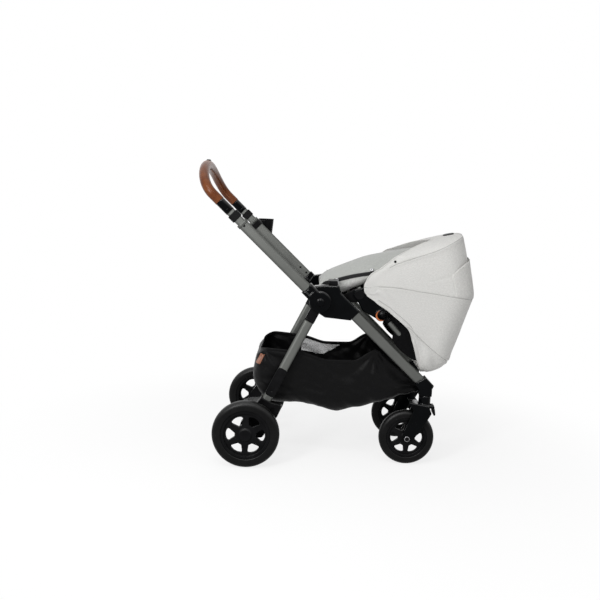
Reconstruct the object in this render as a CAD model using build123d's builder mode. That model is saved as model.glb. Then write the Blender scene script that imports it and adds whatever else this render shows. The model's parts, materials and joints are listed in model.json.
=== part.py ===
"""Baby stroller: four-wheeled folding chassis, telescopic leather handle, basket and parent-facing seat.

Millimetres, +Z up, +X forwards, +Y to the rider's left. The origin is the bottom centre of the whole
object. Along the stroller, places are counted forwards from the rear axle, heights from the floor, and
across it from the frame's middle plane. Pieces of the right-hand side are modelled and then mirrored.
"""

from build123d import *
import os
from math import cos, radians, sin

# Wheels
rear_wheel_radius = 125.0
rear_tyre_width = 46.0
rear_track = 550.0
front_wheel_radius = 105.0
front_tyre_width = 40.0
front_track = 320.0
wheelbase = 668.0  # rear axle to the caster stems
caster_trail = 62.0
axle_radius = 6.0
spoke_count = 6
tyre_depth_share = 0.27  # tyre depth as a share of the wheel radius
hub_cap_share = 0.53  # wheel centre to the hub cap, as a share of the tyre width

# Clearances
running_gap = 0.05  # a pin in its bore, on the radius
sliding_gap = 0.4  # a sliding or turning face beside its neighbour

# Fold pivot of the frame and the three tubes that meet there
pivot_x = 253.0
pivot_z = 622.5
pivot_radius = 9.0
arm_rise = 42.8  # degrees, push arms above the horizontal
arm_depth = 38.0
arm_width = 26.0
arm_length = 399.0
arm_gap = 2.0  # hub to the push arm
tube_wall = 2.5
rear_leg_depth = 35.0
rear_leg_width = 24.0
rear_leg_gap = 25.0  # rear tyre to the rear leg
rear_leg_lead = 14.0  # the leg's line meets axle height this far ahead of the axle
rear_leg_start = 86.0
rear_leg_end = 470.0
front_leg_depth = 39.0
front_leg_width = 24.0
front_leg_top_x = 384.0
front_leg_top_z = 573.0
front_leg_set_in = 2.0  # nearer the middle than the rear leg, at the hub
front_leg_spread = 3.0  # outside the caster stem, at the foot
front_leg_lag = 20.0  # foot behind the caster stem
front_leg_inset = 36.0  # inside the hub

# Hubs
hub_width = 34.0
hub_top_z = 682.0
hub_edge = 7.0  # rounding of the outer face
knuckle_width = 20.0  # rear leg knuckle, inside the hub
hub_collar_wall = 4.5
pivot_head_radius = 15.0
pivot_head_height = 2.4

# Handle
telescope_depth = 32.0
telescope_width = 20.0
telescope_overlap = 199.0  # inside the push arm
telescope_reach = 71.0  # beyond the push arm
band_place = 21.0  # beyond the push arm
band_length = 28.0
sleeve_place = 59.0  # beyond the push arm
sleeve_length = 52.0
grip_straight = 35.0
handle_sweep = 53.1  # the loop's top, further back than its start
handle_rise = 113.2  # the loop's top, above its start
loop_lead = 62.0  # how long the loop keeps to the arms' direction
loop_roundness = 0.5523  # pull of the loop's top, as in a drawn ellipse
core_radius = 11.0
grip_radius = 18.5
button_length = 28.0
button_width = 16.0
button_height = 8.5
button_travel = 2.0

# Cup holder on the left push arm
cup_set_back = 19.0  # from the arm's upper end
cup_radius = 33.0
cup_foot_radius = 27.0
cup_height = 70.0
cup_wall = 2.5
cup_rise = 23.5  # rim above the middle of its clip
cup_ahead = 37.5

# Caster housing, fork and swivel lock
stem_radius = 23.0
swivel_z = 271.0
fork_bottom_z = 205.0
swivel_pin_radius = 8.0
swivel_pin_length = 34.0
fork_gap = 24.0  # wheel's middle to the inside of a fork arm
fork_arm = 8.0

# Seat
seat_gap = 41.0  # hub to the side of the seat
seat_wall = 5.0
seat_plate_gap = 7.0
seat_plate_width = 11.0
recline_x = 398.0
recline_z = 647.0
recline_pin_radius = 8.0
post_length = 42.0
post_width = 14.0
post_start = 286.0
post_end = 312.0
apron_start = 250.0
apron_end = 490.0
tub_end = 470.0
rail_z = 676.6  # top of the tub's sides at the foot end
rail_slope = 0.262
tub_depth = 30.6  # rail to the lowest part of the tub, at the foot end
floor_end = 425.0

# Backrest
back_arm_width = 8.6
release_x = 486.0
release_z = 575.0
release_radius = 16.0
release_travel = 3.0
ring_width = 3.6
ring_back = 4.5  # the ring's middle behind and below the button's
ring_drop = 2.5
back_tube_radius = 11.0
back_tube_set_in = 2.5  # from the outside of the seat plates
back_tube_start = 19.0
back_tube_length = 232.0
back_tube_corner = 55.0
back_drop = 46.0  # degrees, backrest below the horizontal
panel_gap = 13.5  # back tube to the panel's edge
panel_start = -60.0
panel_under = -8.0
panel_over = 22.0
panel_corner = 48.0

# Canopy
canopy_x = 436.0
canopy_z = 676.0
canopy_gap = 12.6  # backrest arm to the outside of the canopy
canopy_skin = 3.0
canopy_corner = 100.0
canopy_foot = 20.0
canopy_visor = (46.0, 235.0)  # angle, reach
canopy_bows = ((30.0, 405.0), (-3.0, 394.0), (-40.0, 420.0), (-55.0, 400.0))
bow_width = 8.0
bow_strip = 3.0
stud_radius = 5.0

# Basket
basket_gap = 19.0  # rear leg to the side of the basket
basket_skin = 2.5
basket_rear = 16.0
basket_low_z = 196.0

# Places that follow from the sizes above
rear_leg_spread = rear_track / 2 - rear_tyre_width / 2 - rear_leg_gap - rear_leg_width / 2
hub_inner = rear_leg_spread - hub_width / 2
hub_outer = rear_leg_spread + hub_width / 2
bracket_inner = rear_leg_spread - 16.0
bracket_outer = rear_leg_spread + 15.0
arm_spread = hub_outer + arm_gap + arm_width / 2
front_leg_top = (front_leg_top_x, front_leg_set_in - rear_leg_spread, front_leg_top_z)
front_leg_foot = (wheelbase - front_leg_lag, -front_track / 2 - front_leg_spread, swivel_z + 54.0)
telescope_start = arm_length - telescope_overlap
telescope_end = arm_length + telescope_reach
band_start = arm_length + band_place
sleeve_start = arm_length + sleeve_place
grip_start = sleeve_start + sleeve_length
loop_start = grip_start + grip_straight
handle_top_x = pivot_x - loop_start * cos(radians(arm_rise)) - handle_sweep
handle_top_z = pivot_z + loop_start * sin(radians(arm_rise)) + handle_rise
cup_place = arm_length - cup_set_back
seat_half_width = hub_inner - seat_gap
seat_plate_inner = seat_half_width + seat_plate_gap
seat_plate_outer = seat_plate_inner + seat_plate_width
post_inner = rear_leg_spread - post_width / 2
post_outer = rear_leg_spread + post_width / 2
back_arm_inner = seat_plate_outer + sliding_gap
back_arm_outer = back_arm_inner + back_arm_width
back_tube_spread = seat_plate_outer - back_tube_set_in
panel_half_width = back_tube_spread - back_tube_radius - panel_gap
canopy_half_width = back_arm_outer + canopy_gap
basket_half_width = rear_leg_spread - rear_leg_width / 2 - basket_gap
handle_back = handle_top_x - grip_radius
canopy_front = canopy_x + canopy_bows[1][1] * cos(radians(canopy_bows[1][0]))
rear_axle_x = -(handle_back + canopy_front) / 2
cup_spread = arm_spread + arm_width / 2 + 6.0 + cup_radius
mid_y = -(cup_spread + cup_radius - rear_track / 2 - rear_tyre_width * hub_cap_share) / 2
arm_angle = 180.0 - arm_rise
hub_middle = (hub_inner + hub_outer) / 2
panel_end = back_tube_length - back_tube_radius - 0.3


def at(x, y, z):
    """A point: ahead of the rear axle, left of the middle plane, above the floor."""
    return (rear_axle_x + x, mid_y + y, z)


def side(y):
    """The side view's plane at y: local x forwards, local y up, normal to the right."""
    return Plane(origin=at(0, y, 0), x_dir=(1, 0, 0), z_dir=(0, -1, 0))


def direction(angle):
    """Unit vector in the side view, degrees above forwards."""
    return Vector(cos(radians(angle)), 0, sin(radians(angle)))


def tube_plane(start, way):
    """Plane across a tube: local x runs across the stroller, local y in the side view."""
    return Plane(origin=start, x_dir=(0, 1, 0), z_dir=way)


def along(start, way, distance):
    """The point that lies a distance along a line."""
    return Vector(*start) + way * distance


middle = Plane(origin=(0, mid_y, 0), x_dir=(1, 0, 0), z_dir=(0, 1, 0))


def save(piece, name):
    """Label a piece and write it to its own file."""
    piece.part.label = name
    export_step(piece.part, f"parts/{name}.step")


def save_pair(piece, name):
    """Write a right-hand piece and its mirror image."""
    save(piece, f"{name}_right")
    with BuildPart() as twin:
        mirror(piece.part, about=middle)
    save(twin, f"{name}_left")


def save_group(piece, name):
    """Write a right-hand piece and its mirror image as two solids of one node."""
    with BuildPart() as both:
        add(piece.part)
        mirror(piece.part, about=middle)
    save(both, name)


def oval_tube(start, way, length, depth, width, wall):
    """A straight tube of rounded rectangular section, open at both ends."""
    corner = width * 0.45
    with BuildPart() as tube:
        with BuildSketch(tube_plane(start, way)):
            RectangleRounded(width, depth, corner)
            RectangleRounded(width - 2 * wall, depth - 2 * wall, corner - wall, mode=Mode.SUBTRACT)
        extrude(amount=length)
    return tube


os.makedirs("parts", exist_ok=True)

arm_way = direction(arm_angle)
arm_root = at(pivot_x, -arm_spread, pivot_z)
leg_foot = at(rear_leg_lead, -rear_leg_spread, rear_wheel_radius)
leg_root = at(pivot_x, -rear_leg_spread, pivot_z)
leg_way = (Vector(*leg_foot) - Vector(*leg_root)).normalized()
front_top = Vector(*at(*front_leg_top))
front_foot = Vector(*at(*front_leg_foot))
front_way = (front_foot - front_top).normalized()


# Tyres: rounded crown over a flat seat on the rim
def make_tyre(x, y, radius, width):
    depth = radius * tyre_depth_share
    crown = width * 0.42
    with BuildPart() as tyre:
        with BuildSketch(Plane(origin=at(x, y, radius), x_dir=(1, 0, 0), z_dir=(0, 0, 1))) as section:
            with Locations((radius - depth / 2, 0)):
                Rectangle(depth, width)
            fillet(section.vertices().group_by(Axis.X)[-1], crown)
            fillet(section.vertices().group_by(Axis.X)[0], crown / 6)
        revolve(axis=Axis(at(x, y, radius), (0, 1, 0)))
    return tyre


# Rims: dished web with six tapered spokes, a blind hub bore and a dust cap on the outside
def make_rim(x, y, radius, width, boss_in, bore):
    seat = radius * (1 - tyre_depth_share)
    band = seat - radius * 0.085
    boss = radius * 0.21
    cap = width * hub_cap_share
    centre = at(x, y, radius)
    with BuildPart() as rim:
        with BuildSketch(Plane(origin=centre, x_dir=(1, 0, 0), z_dir=(0, 0, 1))):
            with BuildLine():
                Polyline(
                    (0, -cap),
                    (boss * 0.8, -cap),
                    (boss, -cap * 0.8),
                    (band, -width * 0.28),
                    (band, -width * 0.42),
                    (seat, -width * 0.42),
                    (seat, width * 0.42),
                    (band, width * 0.42),
                    (band, -width * 0.06),
                    (boss, -width * 0.1),
                    (bore * 2.2, boss_in * 0.5),
                    (bore * 2.2, boss_in),
                    (bore, boss_in),
                    (bore, -cap * 0.75),
                    (0, -cap * 0.75),
                    close=True,
                )
            make_face()
        revolve(axis=Axis(centre, (0, 1, 0)))
        inner = radius * 0.31
        outer = radius * 0.5
        reach = radius * 0.575
        with BuildSketch(Plane(origin=centre, x_dir=(1, 0, 0), z_dir=(0, -1, 0))) as windows:
            with PolarLocations(0, spoke_count):
                with BuildSketch(mode=Mode.PRIVATE) as window:
                    with BuildLine():
                        edge = Line((inner, -radius * 0.055), (outer, -radius * 0.2))
                        arc = ThreePointArc(edge @ 1, (reach, 0), (outer, radius * 0.2))
                        far = Line(arc @ 1, (inner, radius * 0.055))
                        Line(far @ 1, edge @ 0)
                    make_face()
                    fillet(window.vertices(), radius * 0.045)
                add(window.sketch)
        extrude(amount=width, both=True, mode=Mode.SUBTRACT)
    return rim


rear_boss = rear_track / 2 - bracket_outer - sliding_gap
rear_tyre = make_tyre(0, -rear_track / 2, rear_wheel_radius, rear_tyre_width)
save_pair(rear_tyre, "rear_tyre")
rear_rim = make_rim(
    0, -rear_track / 2, rear_wheel_radius, rear_tyre_width, rear_boss, axle_radius + running_gap
)
save_pair(rear_rim, "rear_rim")

front_x = wheelbase - caster_trail
front_y = -front_track / 2
front_tyre = make_tyre(front_x, front_y, front_wheel_radius, front_tyre_width)
save_pair(front_tyre, "front_tyre")

# Front rims are open right through, for an axle held at both ends
with BuildPart() as front_rim:
    add(
        make_rim(
            front_x,
            front_y,
            front_wheel_radius,
            front_tyre_width,
            fork_gap - sliding_gap,
            axle_radius + running_gap,
        ).part
    )
    with BuildSketch(side(front_y)):
        with Locations((front_x, front_wheel_radius)):
            Circle(axle_radius + running_gap)
    extrude(amount=fork_gap, both=True, mode=Mode.SUBTRACT)
save_pair(front_rim, "front_rim")

# Rear stub axles, held in the leg brackets
rear_axle_reach = rear_track / 2 + rear_tyre_width * hub_cap_share * 0.75 - 0.5
with BuildPart() as rear_axle:
    with BuildSketch(side(-bracket_inner)):
        with Locations((0, rear_wheel_radius)):
            Circle(axle_radius)
    extrude(amount=rear_axle_reach - bracket_inner)
    chamfer(rear_axle.edges().sort_by(Axis.Y)[0], axle_radius / 4)
save_group(rear_axle, "rear_axles")

# Rear legs: oval tubes from the hub to the axle brackets
rear_leg = oval_tube(
    along(leg_root, leg_way, rear_leg_start),
    leg_way,
    rear_leg_end - rear_leg_start,
    rear_leg_depth,
    rear_leg_width,
    2.0,
)
save_pair(rear_leg, "rear_leg")

# Rear knuckles: turn on the pivot inside the hub and plug into the legs
with BuildPart() as rear_knuckle:
    with BuildSketch(side(-rear_leg_spread + knuckle_width / 2)):
        with Locations((pivot_x, pivot_z)):
            Circle(34)
        with BuildLine():
            near = Vector(pivot_x + leg_way.X * 4, pivot_z + leg_way.Z * 4)
            far = Vector(pivot_x + leg_way.X * rear_leg_start, pivot_z + leg_way.Z * rear_leg_start)
            across = Vector(-leg_way.Z, leg_way.X) * (rear_leg_depth / 2 + 1)
            Polyline(near + across, far + across, far - across, near - across, close=True)
        make_face()
    extrude(amount=knuckle_width)
    with BuildSketch(tube_plane(along(leg_root, leg_way, rear_leg_start - 6), leg_way)):
        RectangleRounded(rear_leg_width + 2, rear_leg_depth + 3, rear_leg_width * 0.45)
    extrude(amount=6)
    with BuildSketch(tube_plane(along(leg_root, leg_way, rear_leg_start), leg_way)):
        RectangleRounded(rear_leg_width - 4.4, rear_leg_depth - 4.4, rear_leg_width * 0.45 - 2.2)
    extrude(amount=40)
    with Locations(Plane(origin=leg_root, x_dir=(1, 0, 0), z_dir=(0, -1, 0))):
        Hole(pivot_radius + running_gap)
save_pair(rear_knuckle, "rear_knuckle")

# Long moulded pads that wrap the outside of the rear legs
pad_start = 288.0
pad_length = 116.0
pad_width = rear_leg_depth + 2.0
pad_height = 2.2
pad_wrap = 8.0  # how far the pad reaches round the leg
with BuildPart() as leg_pad:
    pad_middle = along(leg_root, leg_way, pad_start + pad_length / 2)
    pad_face = Plane(
        origin=pad_middle - Vector(0, rear_leg_width / 2, 0), x_dir=leg_way, z_dir=(0, -1, 0)
    )
    with BuildSketch(pad_face.offset(-pad_wrap)):
        RectangleRounded(pad_length, pad_width, pad_width * 0.3)
    extrude(amount=pad_wrap + pad_height)
    fillet(leg_pad.faces().sort_by(Axis.Y)[0].edges(), 1.8)
    with BuildSketch(tube_plane(leg_root, leg_way)):
        RectangleRounded(rear_leg_width, rear_leg_depth, rear_leg_width * 0.45)
    extrude(amount=pad_start + 2 * pad_length, mode=Mode.SUBTRACT)
    with Locations(pad_face.offset(pad_height)):
        with Locations((pad_length / 2 - pad_width * 0.6, 0)):
            Hole(4.0, depth=1.2)
save_group(leg_pad, "rear_leg_pads")

# Rear axle brackets: moulded housings with the suspension block ahead of the leg
with BuildPart() as rear_bracket:
    with BuildSketch(side(-bracket_inner)) as outline:
        with BuildLine():
            Polyline(
                (50, 252),
                (90, 233),
                (131, 225),
                (112, 180),
                (58, rear_wheel_radius - 28),
                (0, rear_wheel_radius - 34),
                (-32, rear_wheel_radius - 12),
                (-24, rear_wheel_radius + 26),
                close=True,
            )
        make_face()
        fillet(outline.vertices().sort_by(Axis.Y)[:-1], 12)
    extrude(amount=bracket_outer - bracket_inner)
    fillet(rear_bracket.faces().sort_by(Axis.Y)[0].edges(), 4)
    with BuildSketch(tube_plane(along(leg_root, leg_way, rear_leg_end), leg_way * -1)):
        RectangleRounded(rear_leg_width, rear_leg_depth, rear_leg_width * 0.45)
    extrude(amount=120, mode=Mode.SUBTRACT)
    with BuildSketch(side(-bracket_outer)):
        with Locations((84, 190)):
            SlotOverall(52, 15, rotation=62)
    extrude(amount=-3, mode=Mode.SUBTRACT)
    with BuildSketch(side(-bracket_inner)):
        with Locations((0, rear_wheel_radius)):
            Circle(axle_radius)
    extrude(amount=bracket_outer - bracket_inner, mode=Mode.SUBTRACT)
save_pair(rear_bracket, "rear_bracket")

# Rear cross tube, which also carries the brake pedal
cross_x = 40.0
cross_z = 165.0
cross_radius = 11.0
with BuildPart() as rear_cross_tube:
    with BuildSketch(side(bracket_inner)):
        with Locations((cross_x, cross_z)):
            Circle(cross_radius)
            Circle(cross_radius - 2, mode=Mode.SUBTRACT)
    extrude(amount=2 * bracket_inner)
save(rear_cross_tube, "rear_cross_tube")

# Brake pedal: a ribbed paddle on a sleeve round the cross tube
pedal_width = 78.0
pedal_reach = 78.0
with BuildPart() as brake_pedal:
    with BuildSketch(side(pedal_width / 2)) as profile:
        with Locations((cross_x, cross_z)):
            Circle(cross_radius + 5)
        with BuildLine():
            Polyline(
                (cross_x - 6, cross_z + 15),
                (cross_x - pedal_reach * 0.55, cross_z + 12),
                (cross_x - pedal_reach, cross_z + 2),
                (cross_x - pedal_reach, cross_z - 6),
                (cross_x - pedal_reach * 0.5, cross_z + 1),
                (cross_x - 6, cross_z - 14),
                close=True,
            )
        make_face()
    extrude(amount=pedal_width)
    fillet(brake_pedal.edges().filter_by(Axis.Y).group_by(Axis.X)[0], 3)
    with BuildSketch(side(pedal_width / 2)):
        with Locations((cross_x, cross_z)):
            Circle(cross_radius + running_gap)
    extrude(amount=pedal_width, mode=Mode.SUBTRACT)
    with Locations(Plane(origin=at(cross_x - pedal_reach * 0.62, 0, cross_z + 11))):
        with GridLocations(9, 0, 3, 1):
            Box(3, pedal_width - 18, 5)
save(brake_pedal, "brake_pedal")

# Hubs: moulded housings with the front leg's collar, the rear leg's slot and the seat socket
collar_half = front_leg_depth / 2 + hub_collar_wall
collar_rise = Vector(-front_way.Z, 0, front_way.X).normalized() * collar_half
collar_x = front_leg_top[0]
collar_z = front_leg_top[2]
slot_gap = sliding_gap
with BuildPart() as hub_housing:
    with BuildSketch(side(-hub_inner)) as outline:
        with BuildLine():
            Polyline(
                (pivot_x - 40, pivot_z - 24),
                (pivot_x - 46, pivot_z + 26),
                (pivot_x - 26, hub_top_z - 6),
                (pivot_x + 10, hub_top_z),
                (post_end + 7, hub_top_z),
                (post_end + 16, hub_top_z - 26),
                (collar_x + collar_rise.X, collar_z + collar_rise.Z),
                (collar_x - collar_rise.X, collar_z - collar_rise.Z),
                (pivot_x + 20, pivot_z - 60),
                close=True,
            )
        make_face()
        fillet(outline.vertices().sort_by(Axis.X)[:3], 14)
    extrude(amount=hub_width)
    fillet(hub_housing.faces().sort_by(Axis.Y)[0].edges(), hub_edge)
    with BuildSketch(side(-rear_leg_spread + knuckle_width / 2 + slot_gap)):
        with Locations((pivot_x, pivot_z)):
            Circle(35)
        with BuildLine():
            Polyline(
                (pivot_x - 1, pivot_z + 20),
                (pivot_x - 90, pivot_z - 100),
                (pivot_x + 84, pivot_z - 100),
                (pivot_x + 33, pivot_z + 8),
                close=True,
            )
        make_face()
    extrude(amount=knuckle_width + 2 * slot_gap, mode=Mode.SUBTRACT)
    with BuildSketch(tube_plane(along(front_top, front_way, -front_leg_inset), front_way)):
        RectangleRounded(front_leg_width, front_leg_depth, front_leg_width * 0.45)
    extrude(amount=120, mode=Mode.SUBTRACT)
    with BuildSketch(Plane(origin=at(0, 0, hub_top_z))):
        with Locations(((post_start + post_end) / 2, -(post_inner + post_outer) / 2)):
            Rectangle(
                post_end - post_start + 2 * sliding_gap, post_outer - post_inner + 2 * sliding_gap
            )
    extrude(amount=-post_length - 2, mode=Mode.SUBTRACT)
    with Locations(Plane(origin=at(pivot_x, -hub_middle, pivot_z), x_dir=(1, 0, 0), z_dir=(0, -1, 0))):
        Hole(pivot_radius)
save_pair(hub_housing, "hub_housing")

# Pivot bolts: join the hub, rear knuckle and push arm knuckle
knuckle_inner = hub_outer + 2 * sliding_gap
knuckle_outer = arm_spread + arm_width / 2 + 1.5
with BuildPart() as pivot_bolt:
    with BuildSketch(side(-hub_inner)):
        with Locations((pivot_x, pivot_z)):
            Circle(pivot_radius)
    extrude(amount=knuckle_outer + sliding_gap - hub_inner)
    with BuildSketch(side(-knuckle_outer - sliding_gap)):
        with Locations((pivot_x, pivot_z)):
            Circle(pivot_head_radius)
    extrude(amount=pivot_head_height)
    fillet(pivot_bolt.faces().sort_by(Axis.Y)[0].edges(), pivot_head_height * 0.6)
save_group(pivot_bolt, "pivot_bolts")

# Push arm knuckles: collars that hold the arm tubes and turn on the pivot bolts
knuckle_reach = 72.0
knuckle_half = arm_depth / 2 + 5.0
knuckle_radius = 40.0
knuckle_edge = 8.0
arm_start = 44.0
with BuildPart() as arm_knuckle:
    with BuildSketch(side(-knuckle_inner)) as outline:
        with Locations((pivot_x, pivot_z)):
            Circle(knuckle_radius)
        with BuildLine():
            root = Vector(pivot_x, pivot_z)
            end = root + Vector(arm_way.X, arm_way.Z) * knuckle_reach
            across = Vector(-arm_way.Z, arm_way.X) * knuckle_half
            Polyline(root + across, end + across, end - across, root - across, close=True)
        make_face()
    extrude(amount=knuckle_outer - knuckle_inner)
    fillet(arm_knuckle.faces().sort_by(Axis.Y)[0].edges(), knuckle_edge)
    with BuildSketch(tube_plane(along(arm_root, arm_way, arm_start), arm_way)):
        RectangleRounded(arm_width, arm_depth, arm_width * 0.45)
    extrude(amount=100, mode=Mode.SUBTRACT)
    with Locations(Plane(origin=arm_root, x_dir=(1, 0, 0), z_dir=(0, -1, 0))):
        Hole(pivot_radius + running_gap)
save_pair(arm_knuckle, "arm_knuckle")

# Push arm tubes
arm_tube = oval_tube(
    along(arm_root, arm_way, arm_start), arm_way, arm_length - arm_start, arm_depth, arm_width, tube_wall
)
save_pair(arm_tube, "arm_tube")

# Collars on the upper ends of the push arms
collar_length = 13.0
with BuildPart() as arm_collar:
    with BuildSketch(tube_plane(along(arm_root, arm_way, arm_length - 10), arm_way)):
        RectangleRounded(arm_width + 4, arm_depth + 4, arm_width * 0.45 + 2)
        RectangleRounded(arm_width, arm_depth, arm_width * 0.45, mode=Mode.SUBTRACT)
    extrude(amount=10)
    with BuildSketch(tube_plane(along(arm_root, arm_way, arm_length), arm_way)):
        RectangleRounded(arm_width + 4, arm_depth + 4, arm_width * 0.45 + 2)
        RectangleRounded(
            telescope_width + 2 * sliding_gap,
            telescope_depth + 2 * sliding_gap,
            telescope_width * 0.45 + sliding_gap,
            mode=Mode.SUBTRACT,
        )
    extrude(amount=collar_length - 10)
save_group(arm_collar, "arm_collars")

# Telescopic tubes of the handle
telescope = oval_tube(
    along(arm_root, arm_way, telescope_start),
    arm_way,
    telescope_end - telescope_start,
    telescope_depth,
    telescope_width,
    2.0,
)
save_group(telescope, "telescopic_tubes")

# Rubber bands round the telescopic tubes
with BuildPart() as handle_band:
    with BuildSketch(tube_plane(along(arm_root, arm_way, band_start), arm_way)):
        RectangleRounded(telescope_width + 9, telescope_depth + 9, telescope_width * 0.45 + 3)
    extrude(amount=band_length)
    fillet(handle_band.edges().filter_by(GeomType.LINE, reverse=True), 3)
    with BuildSketch(tube_plane(along(arm_root, arm_way, band_start - 5), arm_way)):
        RectangleRounded(telescope_width, telescope_depth, telescope_width * 0.45)
    extrude(amount=band_length + 10, mode=Mode.SUBTRACT)
save_group(handle_band, "handle_bands")

# Sleeves: join the flat telescopic tubes to the round handle
with BuildPart() as handle_sleeve:
    with BuildSketch(tube_plane(along(arm_root, arm_way, sleeve_start), arm_way)):
        RectangleRounded(telescope_width + 7, telescope_depth + 3, telescope_width * 0.45 + 2)
    with BuildSketch(tube_plane(along(arm_root, arm_way, sleeve_start + sleeve_length), arm_way)):
        RectangleRounded(2 * grip_radius - 2, 2 * grip_radius - 2, grip_radius - 1.2)
    loft()
    with BuildSketch(tube_plane(along(arm_root, arm_way, sleeve_start - 5), arm_way)):
        RectangleRounded(telescope_width, telescope_depth, telescope_width * 0.45)
    extrude(amount=telescope_end - sleeve_start + 5, mode=Mode.SUBTRACT)
    with BuildSketch(tube_plane(along(arm_root, arm_way, telescope_end), arm_way)):
        Circle(core_radius)
    extrude(amount=100, mode=Mode.SUBTRACT)
save_group(handle_sleeve, "handle_sleeves")


# Handle: a round core that leaves the arms straight and arches across, under a leather grip
def handle_path(start):
    low = along(arm_root, arm_way, start)
    bend = along(arm_root, arm_way, loop_start)
    lead = along(arm_root, arm_way, loop_start + loop_lead)
    top = Vector(*at(handle_top_x, 0, handle_top_z))
    across = Vector(0, 2 * arm_spread, 0)
    pull = Vector(0, loop_roundness * arm_spread, 0)
    with BuildLine() as path:
        Line(low, bend)
        Bezier(bend, lead, top - pull, top)
        Bezier(top, top + pull, lead + across, bend + across)
        Line(bend + across, low + across)
    return path


crossbar = Plane(origin=at(handle_top_x, 0, handle_top_z))
pocket_floor = core_radius + 0.3
with BuildPart() as handle_core:
    core_path = handle_path(telescope_end)
    with BuildSketch(tube_plane(along(arm_root, arm_way, telescope_end), arm_way)):
        Circle(core_radius)
    sweep(path=core_path.line)
save(handle_core, "handle_core")

with BuildPart() as handle_grip:
    grip_path = handle_path(grip_start)
    with BuildSketch(tube_plane(along(arm_root, arm_way, grip_start), arm_way)):
        Circle(grip_radius)
        Circle(core_radius + 0.2, mode=Mode.SUBTRACT)
    sweep(path=grip_path.line)
    with BuildSketch(crossbar.offset(pocket_floor)):
        RectangleRounded(button_width + 0.6, button_length + 0.6, button_width * 0.45)
    extrude(amount=grip_radius, mode=Mode.SUBTRACT)
save(handle_grip, "handle_grip")

# Fold release button let into the top of the grip
with BuildPart() as handle_button:
    with BuildSketch(crossbar.offset(pocket_floor + button_travel + 0.3)):
        RectangleRounded(button_width, button_length, button_width * 0.45 - 0.3)
    extrude(amount=button_height)
    fillet(handle_button.faces().sort_by(Axis.Z)[-1].edges(), 2.5)
save(handle_button, "handle_button")

# Cup holder: a tapered cup on a clip round the left push arm
cup_middle = along(at(pivot_x, arm_spread, pivot_z), arm_way, cup_place)
cup_axis = Plane(origin=at(cup_middle.X - rear_axle_x + cup_ahead, cup_spread, cup_middle.Z + cup_rise))
with BuildPart() as cup_holder:
    with BuildSketch(cup_axis.offset(-cup_height)):
        Circle(cup_foot_radius)
    with BuildSketch(cup_axis):
        Circle(cup_radius)
    loft()
    with BuildSketch(tube_plane(cup_middle - arm_way * 15, arm_way)):
        with Locations((2.5, 0)):
            RectangleRounded(arm_width + 11, arm_depth + 8, arm_width * 0.45 + 2)
    extrude(amount=23)
    with BuildSketch(cup_axis.offset(-30)):
        with Locations((-14, -cup_radius + 2)):
            Rectangle(24, 16)
    extrude(amount=22)
    with BuildSketch(cup_axis.offset(-cup_height + cup_wall)):
        Circle(cup_foot_radius - cup_wall)
    with BuildSketch(cup_axis.offset(0.01)):
        Circle(cup_radius - cup_wall)
    loft(mode=Mode.SUBTRACT)
    with BuildSketch(tube_plane(cup_middle - arm_way * 60, arm_way)):
        RectangleRounded(arm_width, arm_depth, arm_width * 0.45)
    extrude(amount=120, mode=Mode.SUBTRACT)
save(cup_holder, "cup_holder")

# Front legs
front_leg = oval_tube(
    along(front_top, front_way, -front_leg_inset),
    front_way,
    (front_foot - front_top).length + front_leg_inset + 10,
    front_leg_depth,
    front_leg_width,
    tube_wall,
)
save_pair(front_leg, "front_leg")

# Caster housings: sockets for the front legs above the swivel stems
housing_half = 22.0
with BuildPart() as caster_housing:
    with BuildSketch(side(front_y + housing_half)) as outline:
        with BuildLine():
            Polyline(
                (wheelbase - stem_radius, swivel_z),
                (wheelbase + stem_radius, swivel_z),
                (wheelbase + stem_radius, swivel_z + 28),
                (wheelbase + 30, swivel_z + 40),
                (wheelbase - 2, swivel_z + 72),
                (wheelbase - 42, swivel_z + 47),
                (wheelbase - stem_radius, swivel_z + 20),
                close=True,
            )
        make_face()
    extrude(amount=2 * housing_half)
    with BuildSketch(Plane(origin=at(wheelbase - 6, front_y, swivel_z))):
        RectangleRounded(78, 2 * housing_half + 1, housing_half - 2)
    extrude(amount=80, mode=Mode.INTERSECT)
    with BuildSketch(tube_plane(along(front_foot, front_way, 10), front_way * -1)):
        RectangleRounded(front_leg_width, front_leg_depth, front_leg_width * 0.45)
    extrude(amount=90, mode=Mode.SUBTRACT)
    with BuildSketch(Plane(origin=at(wheelbase, front_y, swivel_z))):
        Circle(swivel_pin_radius + running_gap)
    extrude(amount=swivel_pin_length + 1, mode=Mode.SUBTRACT)
save_pair(caster_housing, "caster_housing")

# Cross tube between the caster housings, which carries the front of the basket
brace_z = swivel_z + 22.0
brace_radius = 10.0
brace_reach = -front_y - housing_half
with BuildPart() as front_cross_tube:
    with BuildSketch(side(brace_reach)):
        with Locations((wheelbase, brace_z)):
            Circle(brace_radius)
            Circle(brace_radius - 2, mode=Mode.SUBTRACT)
    extrude(amount=2 * brace_reach)
save(front_cross_tube, "front_cross_tube")

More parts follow.
